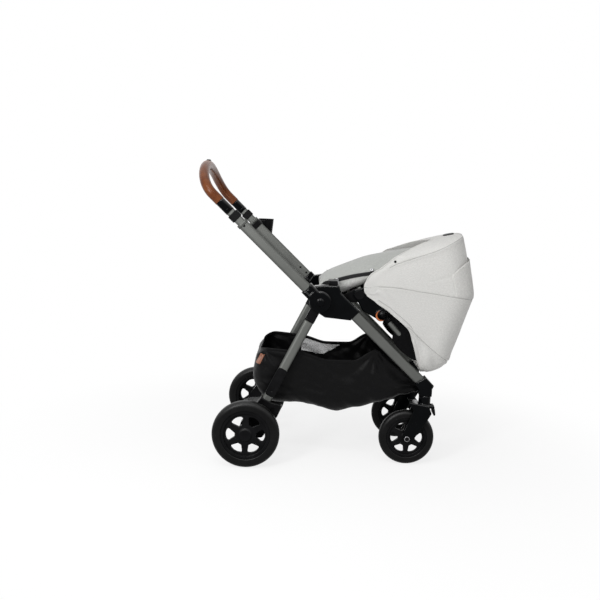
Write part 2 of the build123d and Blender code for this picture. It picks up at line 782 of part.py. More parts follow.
# Caster forks: a swivel stem over two arms that straddle the wheel, with ears for the swivel lock
lock_x = wheelbase + stem_radius + 8.0
lock_z = fork_bottom_z + 24.0
lock_half = 13.0
lock_pin_radius = 2.5
ear_width = 4.0
with BuildPart() as caster_fork:
    with BuildSketch(Plane(origin=at(wheelbase, front_y, fork_bottom_z))):
        Circle(stem_radius - 0.4)
    extrude(amount=swivel_z - sliding_gap - fork_bottom_z)
    with BuildSketch(Plane(origin=at(wheelbase, front_y, swivel_z - sliding_gap))):
        Circle(swivel_pin_radius)
    extrude(amount=swivel_pin_length)
    with BuildSketch(side(front_y + fork_gap + fork_arm)) as outline:
        with BuildLine():
            Polyline(
                (wheelbase - 62, fork_bottom_z + 42),
                (wheelbase - 24, fork_bottom_z + 36),
                (wheelbase + 14, fork_bottom_z + 30),
                (wheelbase + 25, fork_bottom_z + 2),
                (wheelbase + 8, fork_bottom_z - 30),
                (front_x + 17, front_wheel_radius - 13),
                (front_x - 13, front_wheel_radius - 13),
                (front_x - 16, front_wheel_radius + 16),
                (wheelbase - 44, fork_bottom_z + 10),
                close=True,
            )
        make_face()
        fillet(outline.vertices().sort_by(Axis.Y)[:6], 8)
    extrude(amount=2 * (fork_gap + fork_arm))
    with BuildSketch(side(front_y + fork_gap)):
        with Locations((front_x, front_wheel_radius)):
            Circle(front_wheel_radius + 9)
        with BuildLine():
            Polyline(
                (front_x - 40, -20),
                (front_x - 40, front_wheel_radius),
                (front_x + 60, front_wheel_radius + 60),
                (wheelbase + 40, front_wheel_radius + 60),
                (wheelbase + 40, -20),
                close=True,
            )
        make_face()
    extrude(amount=2 * fork_gap, mode=Mode.SUBTRACT)
    with BuildSketch(side(front_y + fork_gap + fork_arm)):
        with Locations((front_x, front_wheel_radius)):
            Circle(axle_radius)
    extrude(amount=2 * (fork_gap + fork_arm), mode=Mode.SUBTRACT)
    for ear_y in (lock_half + sliding_gap + ear_width, -lock_half - sliding_gap):
        with BuildSketch(side(front_y + ear_y)):
            with Locations((lock_x - 12, lock_z)):
                SlotOverall(36, 11)
        extrude(amount=ear_width)
    with BuildSketch(side(front_y + lock_half + ear_width)):
        with Locations((lock_x, lock_z)):
            Circle(lock_pin_radius)
    extrude(amount=2 * (lock_half + ear_width))
save_pair(caster_fork, "caster_fork")

with BuildPart() as front_axle:
    with BuildSketch(side(front_y + fork_gap + fork_arm)):
        with Locations((front_x, front_wheel_radius)):
            Circle(axle_radius)
    extrude(amount=2 * (fork_gap + fork_arm))
    with BuildSketch(side(front_y - fork_gap - fork_arm)):
        with Locations((front_x, front_wheel_radius)):
            Circle(axle_radius + 4)
    extrude(amount=3)
    fillet(front_axle.faces().sort_by(Axis.Y)[0].edges(), 1.2)
save_pair(front_axle, "front_axle")

# Swivel locks: pointed toe levers on the front of the fork stems
lock_toe = 30.0
with BuildPart() as swivel_lock:
    with BuildSketch(side(front_y + lock_half)) as outline:
        with BuildLine():
            Polyline(
                (lock_x - 5.5, lock_z + 6),
                (lock_x + 4, lock_z + 7),
                (lock_x + 9, lock_z - lock_toe * 0.4),
                (lock_x + 12, lock_z - lock_toe),
                (lock_x + 7, lock_z - lock_toe * 1.2),
                (lock_x + 0.5, lock_z - lock_toe * 0.8),
                close=True,
            )
        make_face()
        fillet(outline.vertices(), 2.0)
    extrude(amount=2 * lock_half)
    with BuildSketch(side(front_y + lock_half)):
        with Locations((lock_x, lock_z)):
            Circle(lock_pin_radius + running_gap)
    extrude(amount=2 * lock_half, mode=Mode.SUBTRACT)
save_pair(swivel_lock, "swivel_lock")

# Basket: an open fabric tub slung under the seat
basket_front = wheelbase - brace_radius - sliding_gap
rim_points = ((46.0, 432.0), (200.0, 421.0), (296.0, 400.0), (386.0, 402.0), (462.0, 440.0))
floor_points = ((140.0, 18.0), (230.0, 15.0), (336.0, 0.0), (420.0, 16.0), (520.0, 46.0))  # place, rise


def basket_form(inset):
    """The basket's outer form, or its inner form drawn in by the inset and open at the top."""
    lift = 90.0 if inset else 0.0
    wide = basket_half_width - inset
    narrow = -front_y - housing_half - sliding_gap - inset
    with BuildPart() as form:
        with BuildSketch(side(basket_half_width + 20)):
            with BuildLine():
                Polyline(
                    (rim_points[0][0] + inset, rim_points[0][1] + lift),
                    (basket_rear + inset, 350),
                    (basket_rear + 8 + inset, 270),
                    (basket_rear + 32 + inset, basket_low_z + 26 + inset),
                    *((place, basket_low_z + rise + inset) for place, rise in floor_points),
                    (basket_front - inset, brace_z - 8 + inset),
                    (basket_front - inset, brace_z + 6 + lift),
                    (rim_points[4][0] + inset, rim_points[4][1] + lift),
                    (rim_points[3][0], rim_points[3][1] + lift),
                    (rim_points[2][0], rim_points[2][1] + lift),
                    (rim_points[1][0], rim_points[1][1] + lift),
                    close=True,
                )
            make_face()
        extrude(amount=2 * basket_half_width + 40)
        with BuildSketch(Plane(origin=at(0, 0, 0))):
            with BuildLine():
                Polyline(
                    (basket_rear - 20, -wide + 24),
                    (basket_rear + 40, -wide),
                    (440, -wide),
                    (wheelbase - 50, -narrow),
                    (basket_front + 20, -narrow),
                    (basket_front + 20, narrow),
                    (wheelbase - 50, narrow),
                    (440, wide),
                    (basket_rear + 40, wide),
                    (basket_rear - 20, wide - 24),
                    close=True,
                )
            make_face()
        extrude(amount=700, mode=Mode.INTERSECT)
    return form


with BuildPart() as basket:
    add(basket_form(0.0).part)
    add(basket_form(basket_skin).part, mode=Mode.SUBTRACT)
save(basket, "basket")

# Seat side plates: posts that drop into the hubs and the recline pivots
block_height = 17.0
with BuildPart() as seat_plate:
    with BuildSketch(side(-seat_plate_inner)) as outline:
        with BuildLine():
            Polyline(
                (post_start - 4, hub_top_z + block_height),
                (post_end + 2, hub_top_z + block_height),
                (post_end + 12, recline_z + 6),
                (post_end + 30, recline_z - 4),
                (recline_x - 20, recline_z + 18),
                (recline_x + 10, recline_z + 25),
                (recline_x + 28, recline_z),
                (recline_x + 8, recline_z - 30),
                (recline_x - 26, recline_z - 30),
                (post_end + 16, recline_z - 34),
                (post_start - 4, hub_top_z - 50),
                close=True,
            )
        make_face()
        fillet(outline.vertices(), 6)
    extrude(amount=seat_plate_outer - seat_plate_inner)
    with BuildSketch(Plane(origin=at(0, 0, hub_top_z))):
        with Locations(((post_start + post_end) / 2 - 1, -(seat_plate_inner + post_outer + 4) / 2)):
            Rectangle(post_end - post_start + 6, post_outer + 4 - seat_plate_inner)
    extrude(amount=block_height)
    fillet(seat_plate.faces().sort_by(Axis.Y)[0].edges(), 4)
    with BuildSketch(Plane(origin=at(0, 0, hub_top_z + 1))):
        with Locations(((post_start + post_end) / 2, -(post_inner + post_outer) / 2)):
            Rectangle(post_end - post_start, post_outer - post_inner)
    extrude(amount=-post_length)
    with BuildSketch(side(-seat_plate_outer)):
        with Locations((recline_x, recline_z)):
            Circle(recline_pin_radius)
    extrude(amount=back_arm_outer - seat_plate_outer)
    with BuildSketch(side(-back_arm_outer - sliding_gap)):
        with Locations((recline_x, recline_z)):
            Circle(recline_pin_radius + 9)
    extrude(amount=5)
    with BuildSketch(side(-back_arm_outer)):
        with Locations((recline_x, recline_z)):
            Circle(recline_pin_radius)
    extrude(amount=sliding_gap)
save_pair(seat_plate, "seat_plate")

# Cross tubes that join the seat plates under the seat
seat_tube_radius = 8.0
with BuildPart() as seat_cross_tubes:
    with BuildSketch(side(seat_plate_inner)):
        with Locations((recline_x - 26, recline_z - 13), (recline_x + 2, recline_z + 18.2)):
            Circle(seat_tube_radius)
    extrude(amount=2 * seat_plate_inner)
save(seat_cross_tubes, "seat_cross_tubes")

# Seat tub: fabric side walls, floor and foot end, open to the backrest
tub_low_z = rail_z - tub_depth
tub_top_z = rail_z + 130.0
with BuildPart() as seat_tub:
    with BuildSketch(side(seat_half_width)):
        with BuildLine():
            Polyline(
                (apron_start, tub_low_z + 14),
                (apron_start + 12, tub_low_z + 2),
                (apron_start + 81, tub_low_z),
                (floor_end - 11, tub_low_z + 34),
                (tub_end, tub_low_z + 56),
                (tub_end, rail_z + (tub_end - apron_start) * rail_slope),
                (apron_start + 2, rail_z + 2 * rail_slope),
                close=True,
            )
        make_face()
    extrude(amount=2 * seat_half_width)
    with BuildSketch(side(seat_half_width - seat_wall)):
        with BuildLine():
            Polyline(
                (apron_start + seat_wall, tub_top_z),
                (apron_start + seat_wall, tub_low_z + 17),
                (apron_start + 12 + seat_wall, tub_low_z + 2 + seat_wall),
                (apron_start + 81, tub_low_z + seat_wall),
                (floor_end, tub_low_z + 38.5 + seat_wall),
                (floor_end, tub_low_z - 40),
                (tub_end + 30, tub_low_z - 40),
                (tub_end + 30, tub_top_z),
                close=True,
            )
        make_face()
    extrude(amount=2 * (seat_half_width - seat_wall), mode=Mode.SUBTRACT)
save(seat_tub, "seat_tub")


# Apron: the padded leg cover, a crowned shell over the tub
def apron_form(inset, start, end):
    """Crowned form over the seat, through arches of rising height."""
    stations = ((0.0, 10.0), (12.0, 24.0), (50.0, 44.0), (117.0, 60.0), (190.0, 69.0))
    stations += ((apron_end - apron_start, 68.0),)
    last = len(stations) - 1
    with BuildPart() as form:
        for index, (place, crown) in enumerate(stations):
            x = start if index == 0 else end if index == last else apron_start + place
            base = rail_z + sliding_gap + place * rail_slope
            half = seat_half_width - inset
            wall = crown * 0.3
            sink = 3.0 if inset else 0.0
            with BuildSketch(Plane(origin=at(x, 0, 0), x_dir=(0, 1, 0), z_dir=(1, 0, 0))):
                with BuildLine():
                    floor = Line((half, base - sink), (-half, base - sink))
                    left = Line(floor @ 1, (-half, base + wall - inset * 0.3))
                    top = ThreePointArc(
                        left @ 1, (0, base + crown - inset), (half, base + wall - inset * 0.3)
                    )
                    Line(top @ 1, floor @ 0)
                make_face()
        loft()
    return form


with BuildPart() as seat_apron:
    add(apron_form(0.0, apron_start, apron_end).part)
    add(apron_form(seat_wall, apron_start + seat_wall, apron_end + 4).part, mode=Mode.SUBTRACT)
save(seat_apron, "seat_apron")

# Backrest arms: moulded links from the recline pivots to the back tube, with the release bosses
back_way = direction(-back_drop)
tube_root = Vector(*at(release_x, -back_tube_spread, release_z))
boss_outer = back_arm_outer + 5.0
with BuildPart() as backrest_arm:
    with BuildSketch(side(-back_arm_inner)) as outline:
        with BuildLine():
            Polyline(
                (recline_x - 26, recline_z - 4),
                (recline_x - 16, recline_z + 19),
                (recline_x + 14, recline_z + 26),
                (canopy_x - 4, canopy_z + 14),
                (canopy_x + 15, canopy_z),
                (canopy_x + 6, canopy_z - 24),
                (release_x + 18, release_z + 10),
                (release_x + 14, release_z - 16),
                (release_x - 14, release_z - 18),
                (recline_x + 16, release_z + 11),
                (recline_x - 4, recline_z - 28),
                close=True,
            )
        make_face()
        fillet(outline.vertices(), 7)
    extrude(amount=back_arm_outer - back_arm_inner)
    with BuildSketch(side(-back_arm_inner)):
        with Locations((release_x, release_z), (release_x - ring_back, release_z - ring_drop)):
            Circle(release_radius + ring_width + 1.4)
    extrude(amount=boss_outer - back_arm_inner)
    with BuildSketch(tube_plane(along(tube_root, back_way, back_tube_start - 6), back_way)):
        Circle(back_tube_radius + 2.5)
    extrude(amount=26)
    with BuildSketch(side(-back_arm_outer)):
        with Locations((canopy_x, canopy_z)):
            Circle(stud_radius)
    extrude(amount=canopy_half_width - canopy_skin - sliding_gap - back_arm_outer)
    with BuildSketch(side(-canopy_half_width + canopy_skin + sliding_gap)):
        with Locations((canopy_x, canopy_z)):
            Circle(canopy_foot + 4)
    extrude(amount=-1.8)
    with BuildSketch(side(-boss_outer)):
        with Locations((release_x, release_z)):
            Circle(release_radius + sliding_gap)
    extrude(amount=-release_travel - 5, mode=Mode.SUBTRACT)
    with BuildSketch(tube_plane(along(tube_root, back_way, back_tube_start), back_way)):
        Circle(back_tube_radius)
    extrude(amount=60, mode=Mode.SUBTRACT)
    with Locations(side(-back_arm_outer)):
        with Locations((recline_x, recline_z)):
            Hole(recline_pin_radius + running_gap)
save_group(backrest_arm, "backrest_arms")

# Coloured crescents beside the release buttons
with BuildPart() as release_ring:
    with BuildSketch(side(-boss_outer)):
        with Locations((release_x - ring_back, release_z - ring_drop)):
            Circle(release_radius + ring_width)
        with Locations((release_x, release_z)):
            Circle(release_radius + sliding_gap, mode=Mode.SUBTRACT)
    extrude(amount=1.5)
save_group(release_ring, "release_rings")

# Release buttons
with BuildPart() as release_button:
    with BuildSketch(side(-boss_outer + 4.6)):
        with Locations((release_x, release_z)):
            Circle(release_radius)
    extrude(amount=9)
    fillet(release_button.faces().sort_by(Axis.Y)[0].edges(), 2.5)
    with BuildSketch(side(-boss_outer - 4.4)):
        with Locations((release_x, release_z)):
            Circle(release_radius * 0.62)
    extrude(amount=-1.5, mode=Mode.SUBTRACT)
save_pair(release_button, "release_button")

# Back tube: a bent hoop that frames the backrest
with BuildPart() as backrest_tube:
    hoop_start = along(tube_root, back_way, back_tube_start)
    hoop_corner = along(tube_root, back_way, back_tube_length)
    hoop_across = Vector(0, 2 * back_tube_spread, 0)
    with BuildLine() as hoop:
        FilletPolyline(
            hoop_start,
            hoop_corner,
            hoop_corner + hoop_across,
            hoop_start + hoop_across,
            radius=back_tube_corner,
        )
    with BuildSketch(tube_plane(hoop_start, back_way)):
        Circle(back_tube_radius)
    sweep(path=hoop.line)
save(backrest_tube, "backrest_tube")

# Backrest panel: a padded board between the tubes, crowned towards the child
with BuildPart() as backrest_panel:
    panel_plane = Plane(origin=at(release_x, panel_half_width, release_z), x_dir=back_way, z_dir=(0, -1, 0))
    with BuildSketch(panel_plane) as outline:
        with BuildLine():
            under = Line((panel_end, panel_under), (panel_start, panel_under))
            foot = Line(under @ 1, (panel_start, panel_over - 6))
            top = ThreePointArc(
                foot @ 1, ((panel_start + panel_end) / 2, panel_over), (panel_end, panel_over - 6)
            )
            Line(top @ 1, under @ 0)
        make_face()
    extrude(amount=2 * panel_half_width)
    fillet(backrest_panel.edges().filter_by(Axis.Y), 4)
    panel_top = Plane(
        origin=at(release_x, 0, release_z), x_dir=(0, 1, 0), z_dir=Vector(0, 1, 0).cross(back_way)
    )
    with BuildSketch(panel_top.offset(-60)):
        with Locations((0, (panel_start + panel_end) / 2)):
            RectangleRounded(2 * panel_half_width, panel_end - panel_start, panel_corner)
    extrude(amount=120, mode=Mode.INTERSECT)
save(backrest_panel, "backrest_panel")


# Canopy: one skin over the bows, straight between them
def bow_plane(angle):
    """Plane of a bow: local x across the stroller, local y outwards from the canopy's pivot."""
    way = direction(angle)
    return Plane(origin=at(canopy_x, 0, canopy_z), x_dir=(0, 1, 0), z_dir=Vector(0, 1, 0).cross(way))


def draw_arch(half, reach, corner, foot):
    """Outline of an arch from one foot over the top to the other."""
    low = (half, foot)
    shoulder = (half, reach - corner)
    crown = (half - corner, reach)
    bend = corner * (1 - cos(radians(45)))
    knee = (half - bend, reach - bend)
    Line(low, shoulder)
    ThreePointArc(shoulder, knee, crown)
    Line(crown, (-crown[0], crown[1]))
    ThreePointArc((-crown[0], crown[1]), (-knee[0], knee[1]), (-shoulder[0], shoulder[1]))
    Line((-shoulder[0], shoulder[1]), (-low[0], low[1]))


def arch_face(half, reach, corner, foot, strip):
    """A strip that follows an arch, as a sketch face."""
    draw_arch(half, reach, corner, foot)
    draw_arch(half - strip, reach - strip, corner - strip, foot)
    Line((half, foot), (half - strip, foot))
    Line((-half, foot), (-half + strip, foot))


with BuildPart() as canopy:
    for angle, reach in (canopy_visor,) + canopy_bows:
        with BuildSketch(bow_plane(angle)):
            with BuildLine():
                arch_face(canopy_half_width, reach, canopy_corner, canopy_foot, canopy_skin)
            make_face()
    loft(ruled=True)
save(canopy, "canopy")


# Canopy bows: flat sprung strips that turn on the studs of the backrest arms
def make_bow(angle, half, reach):
    with BuildPart() as bow:
        with BuildSketch(bow_plane(angle)):
            with BuildLine():
                arch_face(half, reach, canopy_corner, 0.0, bow_strip)
            make_face()
        extrude(amount=bow_width / 2, both=True)
        for sign in (1, -1):
            with BuildSketch(side(sign * half if sign > 0 else sign * (half - bow_strip))):
                with Locations((canopy_x, canopy_z)):
                    Circle(stud_radius + 4)
            extrude(amount=bow_strip)
        with BuildSketch(side(half)):
            with Locations((canopy_x, canopy_z)):
                Circle(stud_radius + running_gap)
        extrude(amount=2 * half, mode=Mode.SUBTRACT)
    return bow


front_bow_half = canopy_half_width - canopy_skin - 2.6
mid_bow_half = front_bow_half - bow_strip - 0.6
front_bow = make_bow(canopy_bows[0][0] - 2, front_bow_half, canopy_bows[0][1] - 10)
save(front_bow, "canopy_front_bow")
mid_bow = make_bow(canopy_bows[1][0], mid_bow_half, canopy_bows[1][1] - 5)
save(mid_bow, "canopy_mid_bow")
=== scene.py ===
import json
import math

import bmesh
import bpy
from mathutils import Matrix, Vector, noise


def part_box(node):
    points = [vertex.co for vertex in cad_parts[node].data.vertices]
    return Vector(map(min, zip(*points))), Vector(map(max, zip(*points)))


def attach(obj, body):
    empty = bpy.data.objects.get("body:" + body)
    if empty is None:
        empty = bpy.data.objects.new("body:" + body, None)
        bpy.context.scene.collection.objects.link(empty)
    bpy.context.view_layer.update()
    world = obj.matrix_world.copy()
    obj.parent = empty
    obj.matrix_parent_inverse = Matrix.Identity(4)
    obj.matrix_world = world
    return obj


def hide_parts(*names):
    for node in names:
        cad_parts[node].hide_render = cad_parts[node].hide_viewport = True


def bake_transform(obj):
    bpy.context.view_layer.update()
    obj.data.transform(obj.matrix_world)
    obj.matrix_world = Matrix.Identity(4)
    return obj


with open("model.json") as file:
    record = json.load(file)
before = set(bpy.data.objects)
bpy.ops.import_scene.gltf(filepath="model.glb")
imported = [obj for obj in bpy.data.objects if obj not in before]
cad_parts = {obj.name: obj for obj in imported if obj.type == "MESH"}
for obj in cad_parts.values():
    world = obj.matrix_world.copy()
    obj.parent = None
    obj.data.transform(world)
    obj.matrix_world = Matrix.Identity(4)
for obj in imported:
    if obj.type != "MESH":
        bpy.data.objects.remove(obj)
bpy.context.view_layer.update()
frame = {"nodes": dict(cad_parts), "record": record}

MM = 0.001
UP = Vector((0, 0, 1))
LEFT = Vector((0, 1, 0))
SIDES = ((-1, "right"), (1, "left"))


def box_centre(node):
    low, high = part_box(node)
    return (low + high) / 2


def outer_y(node, sign):
    """Where a node's box ends on one side."""
    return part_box(node)[0 if sign < 0 else 1].y


REAR_AXLE_X = box_centre("rear_axles").x
MIDDLE_Y = box_centre("front_cross_tube").y


def at(x, y, z):
    """A place in millimetres ahead of the rear axle, left of the frame's middle and above the floor."""
    return Vector((REAR_AXLE_X + x * MM, MIDDLE_Y + y * MM, z * MM))


# Driving sizes: places are millimetres ahead of the rear axle and above the floor
CANOPY_PIVOT = (436.0, 676.0)
RELEASE_BUTTON = (486.0, 575.0)
FOLD_PIVOT = (253.0, 622.5)
RAIL_START = (250.0, 677.2)
RAIL_SLOPE = 0.262
SEAT_HALF_WIDTH = 157.0
ARM_SPREAD = 247.0
ARM_HALF = 13.0
ARM_RISE = math.radians(42.8)
BACK_DROP = math.radians(46.0)

# Curves


def smooth_step(t):
    t = min(1.0, max(0.0, t))
    return t * t * (3 - 2 * t)


def ridge(distance, width):
    """1 on a line, falling to 0 on both sides of it."""
    return math.exp(-((distance / width) ** 2))


def signed_power(value, power):
    return math.copysign(abs(value) ** power, value)


def ripple(x, y, z):
    """Smooth noise between -1 and 1."""
    return noise.noise(Vector((x, y, z)))


def turns(count):
    """Even angles round a full circle."""
    return [2 * math.pi * k / count for k in range(count)]


def interpolate(x, points):
    """A smooth curve through (x, y) points in rising order of x, level beyond its ends."""
    xs, ys = zip(*points)
    if x <= xs[0]:
        return ys[0]
    if x >= xs[-1]:
        return ys[-1]
    k = max(i for i in range(len(xs) - 1) if xs[i] <= x)

    def rate(i):
        return (ys[i + 1] - ys[i]) / (xs[i + 1] - xs[i])

    def slope(i):
        if i in (0, len(xs) - 1):
            return rate(min(i, len(xs) - 2))
        left, right = rate(i - 1), rate(i)
        return 0.0 if left * right <= 0 else 2 * left * right / (left + right)

    h = xs[k + 1] - xs[k]
    t = (x - xs[k]) / h
    return (
        (2 * t**3 - 3 * t**2 + 1) * ys[k]
        + (t**3 - 2 * t**2 + t) * h * slope(k)
        + (3 * t**2 - 2 * t**3) * ys[k + 1]
        + (t**3 - t**2) * h * slope(k + 1)
    )


def running_lengths(points):
    """The distance along a line of points up to each of them."""
    lengths = [0.0]
    for a, b in zip(points, points[1:]):
        lengths.append(lengths[-1] + math.dist(a, b))
    return lengths


def resample(points, step):
    """Points at even steps along a line of points."""
    lengths = running_lengths(points)
    count = max(2, int(round(lengths[-1] / step)) + 1)
    found, k = [], 0
    for i in range(count):
        d = lengths[-1] * i / (count - 1)
        while k < len(points) - 2 and lengths[k + 1] < d:
            k += 1
        span = max(1e-9, lengths[k + 1] - lengths[k])
        found.append(points[k].lerp(points[k + 1], (d - lengths[k]) / span))
    return found


def path_frames(points, up):
    """Each point of a line with its tangent, side and up vectors."""
    frames = []
    for i, p in enumerate(points):
        tangent = (points[min(i + 1, len(points) - 1)] - points[max(i - 1, 0)]).normalized()
        across = tangent.cross(up).normalized()
        frames.append((p, tangent, across, across.cross(tangent).normalized()))
    return frames


def border(low, last_row, last_column):
    """Grid places round a rectangle that starts at (low, low), and back to its start."""
    places = [(low, j) for j in range(low, last_column + 1)]
    places += [(i, last_column) for i in range(low + 1, last_row + 1)]
    places += [(last_row, j) for j in range(last_column - 1, low - 1, -1)]
    return places + [(i, low) for i in range(last_row - 1, low - 1, -1)]


# Meshes


def mesh_object(name, verts, faces, materials, uvs=None, face_material=None):
    mesh = bpy.data.meshes.new(name)
    mesh.from_pydata([tuple(v) for v in verts], [], faces)
    obj = bpy.data.objects.new(name, mesh)
    bpy.context.scene.collection.objects.link(obj)
    for material in materials if isinstance(materials, list) else [materials]:
        mesh.materials.append(material)
    if uvs is not None:
        layer = mesh.uv_layers.new(name="UVMap")
        for loop in mesh.loops:
            layer.data[loop.index].uv = uvs[loop.vertex_index]
    for i, polygon in enumerate(mesh.polygons):
        polygon.use_smooth = True
        if face_material is not None:
            polygon.material_index = face_material[i]
    mesh.update()
    return obj


def flatten(rows):
    return [p for row in rows for p in row]


def quads(rows, count, closed, first=0):
    """Faces between rows of count points; closed joins each row's last point to its first."""
    faces = []
    for i in range(rows - 1):
        for j in range(count if closed else count - 1):
            a = first + i * count + j
            b = first + i * count + (j + 1) % count
            faces.append((a, b, b + count, a + count))
    return faces


def grid_object(name, rows, materials, uvs, closed=False, choose=None):
    """A sheet through rows of points; choose gives a face's material by its row and column."""
    count = len(rows[0])
    faces = quads(len(rows), count, closed)
    index = None
    if choose:
        columns = count if closed else count - 1
        index = [choose(k // columns, k % columns) for k in range(len(faces))]
    return mesh_object(name, flatten(rows), faces, materials, flatten(uvs), index)


def add_rings(verts, faces, rings):
    """Adds a surface through rings of points, capped at both ends."""
    first, count = len(verts), len(rings[0])
    last = first + (len(rings) - 1) * count
    verts += flatten(rings)
    faces += quads(len(rings), count, True, first)
    faces.append(tuple(reversed(range(first, first + count))))
    faces.append(tuple(range(last, last + count)))


def ring_object(name, rings, material):
    verts, faces = [], []
    add_rings(verts, faces, rings)
    return face_out(mesh_object(name, verts, faces, material))


def edit_mesh(obj, change):
    """Runs a mesh operation on an object."""
    work = bmesh.new()
    work.from_mesh(obj.data)
    change(work)
    work.to_mesh(obj.data)
    work.free()
    return obj


def face_out(obj):
    """Turns all faces outwards."""
    return edit_mesh(obj, lambda work: bmesh.ops.recalc_face_normals(work, faces=work.faces))


def merge_points(obj, distance):
    return edit_mesh(obj, lambda work: bmesh.ops.remove_doubles(work, verts=work.verts, dist=distance))


def fill_ends(obj):
    def fill(work):
        bmesh.ops.holes_fill(work, edges=[e for e in work.edges if e.is_boundary], sides=0)

    return edit_mesh(obj, fill)


def face_towards(obj, way):
    """Turns a sheet over if its faces look away from a direction."""
    if sum(p.normal.dot(way) for p in obj.data.polygons) < 0:
        obj.data.flip_normals()
    return obj


def bake(obj):
    """Applies an object's modifiers to its mesh."""
    graph = bpy.context.evaluated_depsgraph_get()
    mesh = bpy.data.meshes.new_from_object(obj.evaluated_get(graph))
    obj.modifiers.clear()
    obj.data = mesh
    for polygon in mesh.polygons:
        polygon.use_smooth = True
    return obj


def thicken(obj, thickness, offset=-1.0):
    """Gives a sheet a thickness in millimetres, inwards unless offset says otherwise."""
    solid = obj.modifiers.new("solid", "SOLIDIFY")
    solid.thickness = thickness * MM
    solid.offset = offset
    return bake(obj)


def tube_object(name, points, radius, material, sides, up, flat=1.0, closed=False):
    """A round or flattened cord along points, with capped ends or joined into a loop."""
    rings = []
    for p, _, across, lift in path_frames(points, up):
        wide, tall = across * (radius * MM), lift * (radius * flat * MM)
        rings.append([p + wide * math.cos(a) + tall * math.sin(a) for a in turns(sides)])
    if not closed:
        return ring_object(name, rings, material)
    faces = quads(len(rings), sides, True)
    last = (len(rings) - 1) * sides
    faces += [(last + j, last + (j + 1) % sides, (j + 1) % sides, j) for j in range(sides)]
    return face_out(mesh_object(name, flatten(rings), faces, material))


# A stitch from end to end: its rings' places along it, their lift and their size
STITCH_RINGS = ((-0.5, -0.6, 0.35), (-0.25, 0.15, 1), (0.25, 0.15, 1), (0.5, -0.6, 0.35))
STITCH_SIDES = 6


def stitch_object(name, lines, material, pitch, length, radius):
    """Rows of thread stitches, sized in millimetres; each line is (points, outward normals)."""
    verts, faces = [], []
    for points, normals in lines:
        even = resample(points, pitch * MM)
        for i, (p, following) in enumerate(zip(even, even[1:])):
            tangent = (following - p).normalized()
            share = i / (len(even) - 1)
            normal = normals[min(len(normals) - 1, int(share * len(normals)))].normalized()
            across = tangent.cross(normal).normalized()
            spokes = [across * math.cos(a) + normal * math.sin(a) for a in turns(STITCH_SIDES)]
            rings = []
            for along, lift, size in STITCH_RINGS:
                centre = p + tangent * (along * length * MM) + normal * (lift * radius * MM)
                rings.append([centre + spoke * (radius * size * MM) for spoke in spokes])
            add_rings(verts, faces, rings)
    return face_out(mesh_object(name, verts, faces, material))


def place_piece(obj, body):
    """Attaches a piece to the body it rides on; blended pieces have no body of their own."""
    if body:
        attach(obj, body)
    return obj


# A pressed dome from its foot to its middle: shares of its radius and height
DOME_PROFILE = [(1.0, -0.3), (1.0, 0.25), (0.96, 0.55), (0.8, 0.88), (0.5, 1.0)]
DOME_DENT = (0.42, 0.2)
DOME_SIDES = 28


def dome_object(name, centre, axis, radius, height, body, slot, dent):
    """A snap, rivet or screw head on a body, sized in millimetres and standing on centre."""
    axis = Vector(axis).normalized()
    across = axis.cross(Vector((1, 0, 0))).normalized()
    other = axis.cross(across)
    spokes = [across * math.cos(a) + other * math.sin(a) for a in turns(DOME_SIDES)]
    rings = []
    for r, h in DOME_PROFILE + [(r, 1.0 - dent) for r in DOME_DENT]:
        rings.append([centre + spoke * (radius * r * MM) + axis * (height * h * MM) for spoke in spokes])
    return place_piece(ring_object(name, rings, MATERIALS[slot]), body)


# Materials


def add_node(tree, kind, inputs=None, **settings):
    node = tree.nodes.new("ShaderNode" + kind)
    for key, value in settings.items():
        setattr(node, key, value)
    for key, value in (inputs or {}).items():
        if isinstance(value, bpy.types.NodeSocket):
            tree.links.new(value, node.inputs[key])
        else:
            node.inputs[key].default_value = value
    return node


def maths(tree, operation, a, b=0.0):
    return add_node(tree, "Math", {0: a, 1: b}, operation=operation).outputs["Value"]


def spread(tree, factor, low, high, start=0.0, end=1.0, kind="LINEAR"):
    """Takes a factor between start and end to a value between low and high."""
    inputs = {"Value": factor, "From Min": start, "From Max": end, "To Min": low, "To Max": high}
    return add_node(tree, "MapRange", inputs, interpolation_type=kind).outputs["Result"]


def mix_shaders(tree, share, first, second):
    return add_node(tree, "MixShader", {0: share, 1: first, 2: second}).outputs["Shader"]


def seen_directly(tree):
    """1 for rays from the camera, off a gloss or through the net, 0 for scattered light."""
    rays = add_node(tree, "LightPath").outputs
    seen = maths(tree, "MAXIMUM", rays["Is Camera Ray"], rays["Is Glossy Ray"])
    return maths(tree, "MAXIMUM", seen, rays["Is Transmission Ray"])


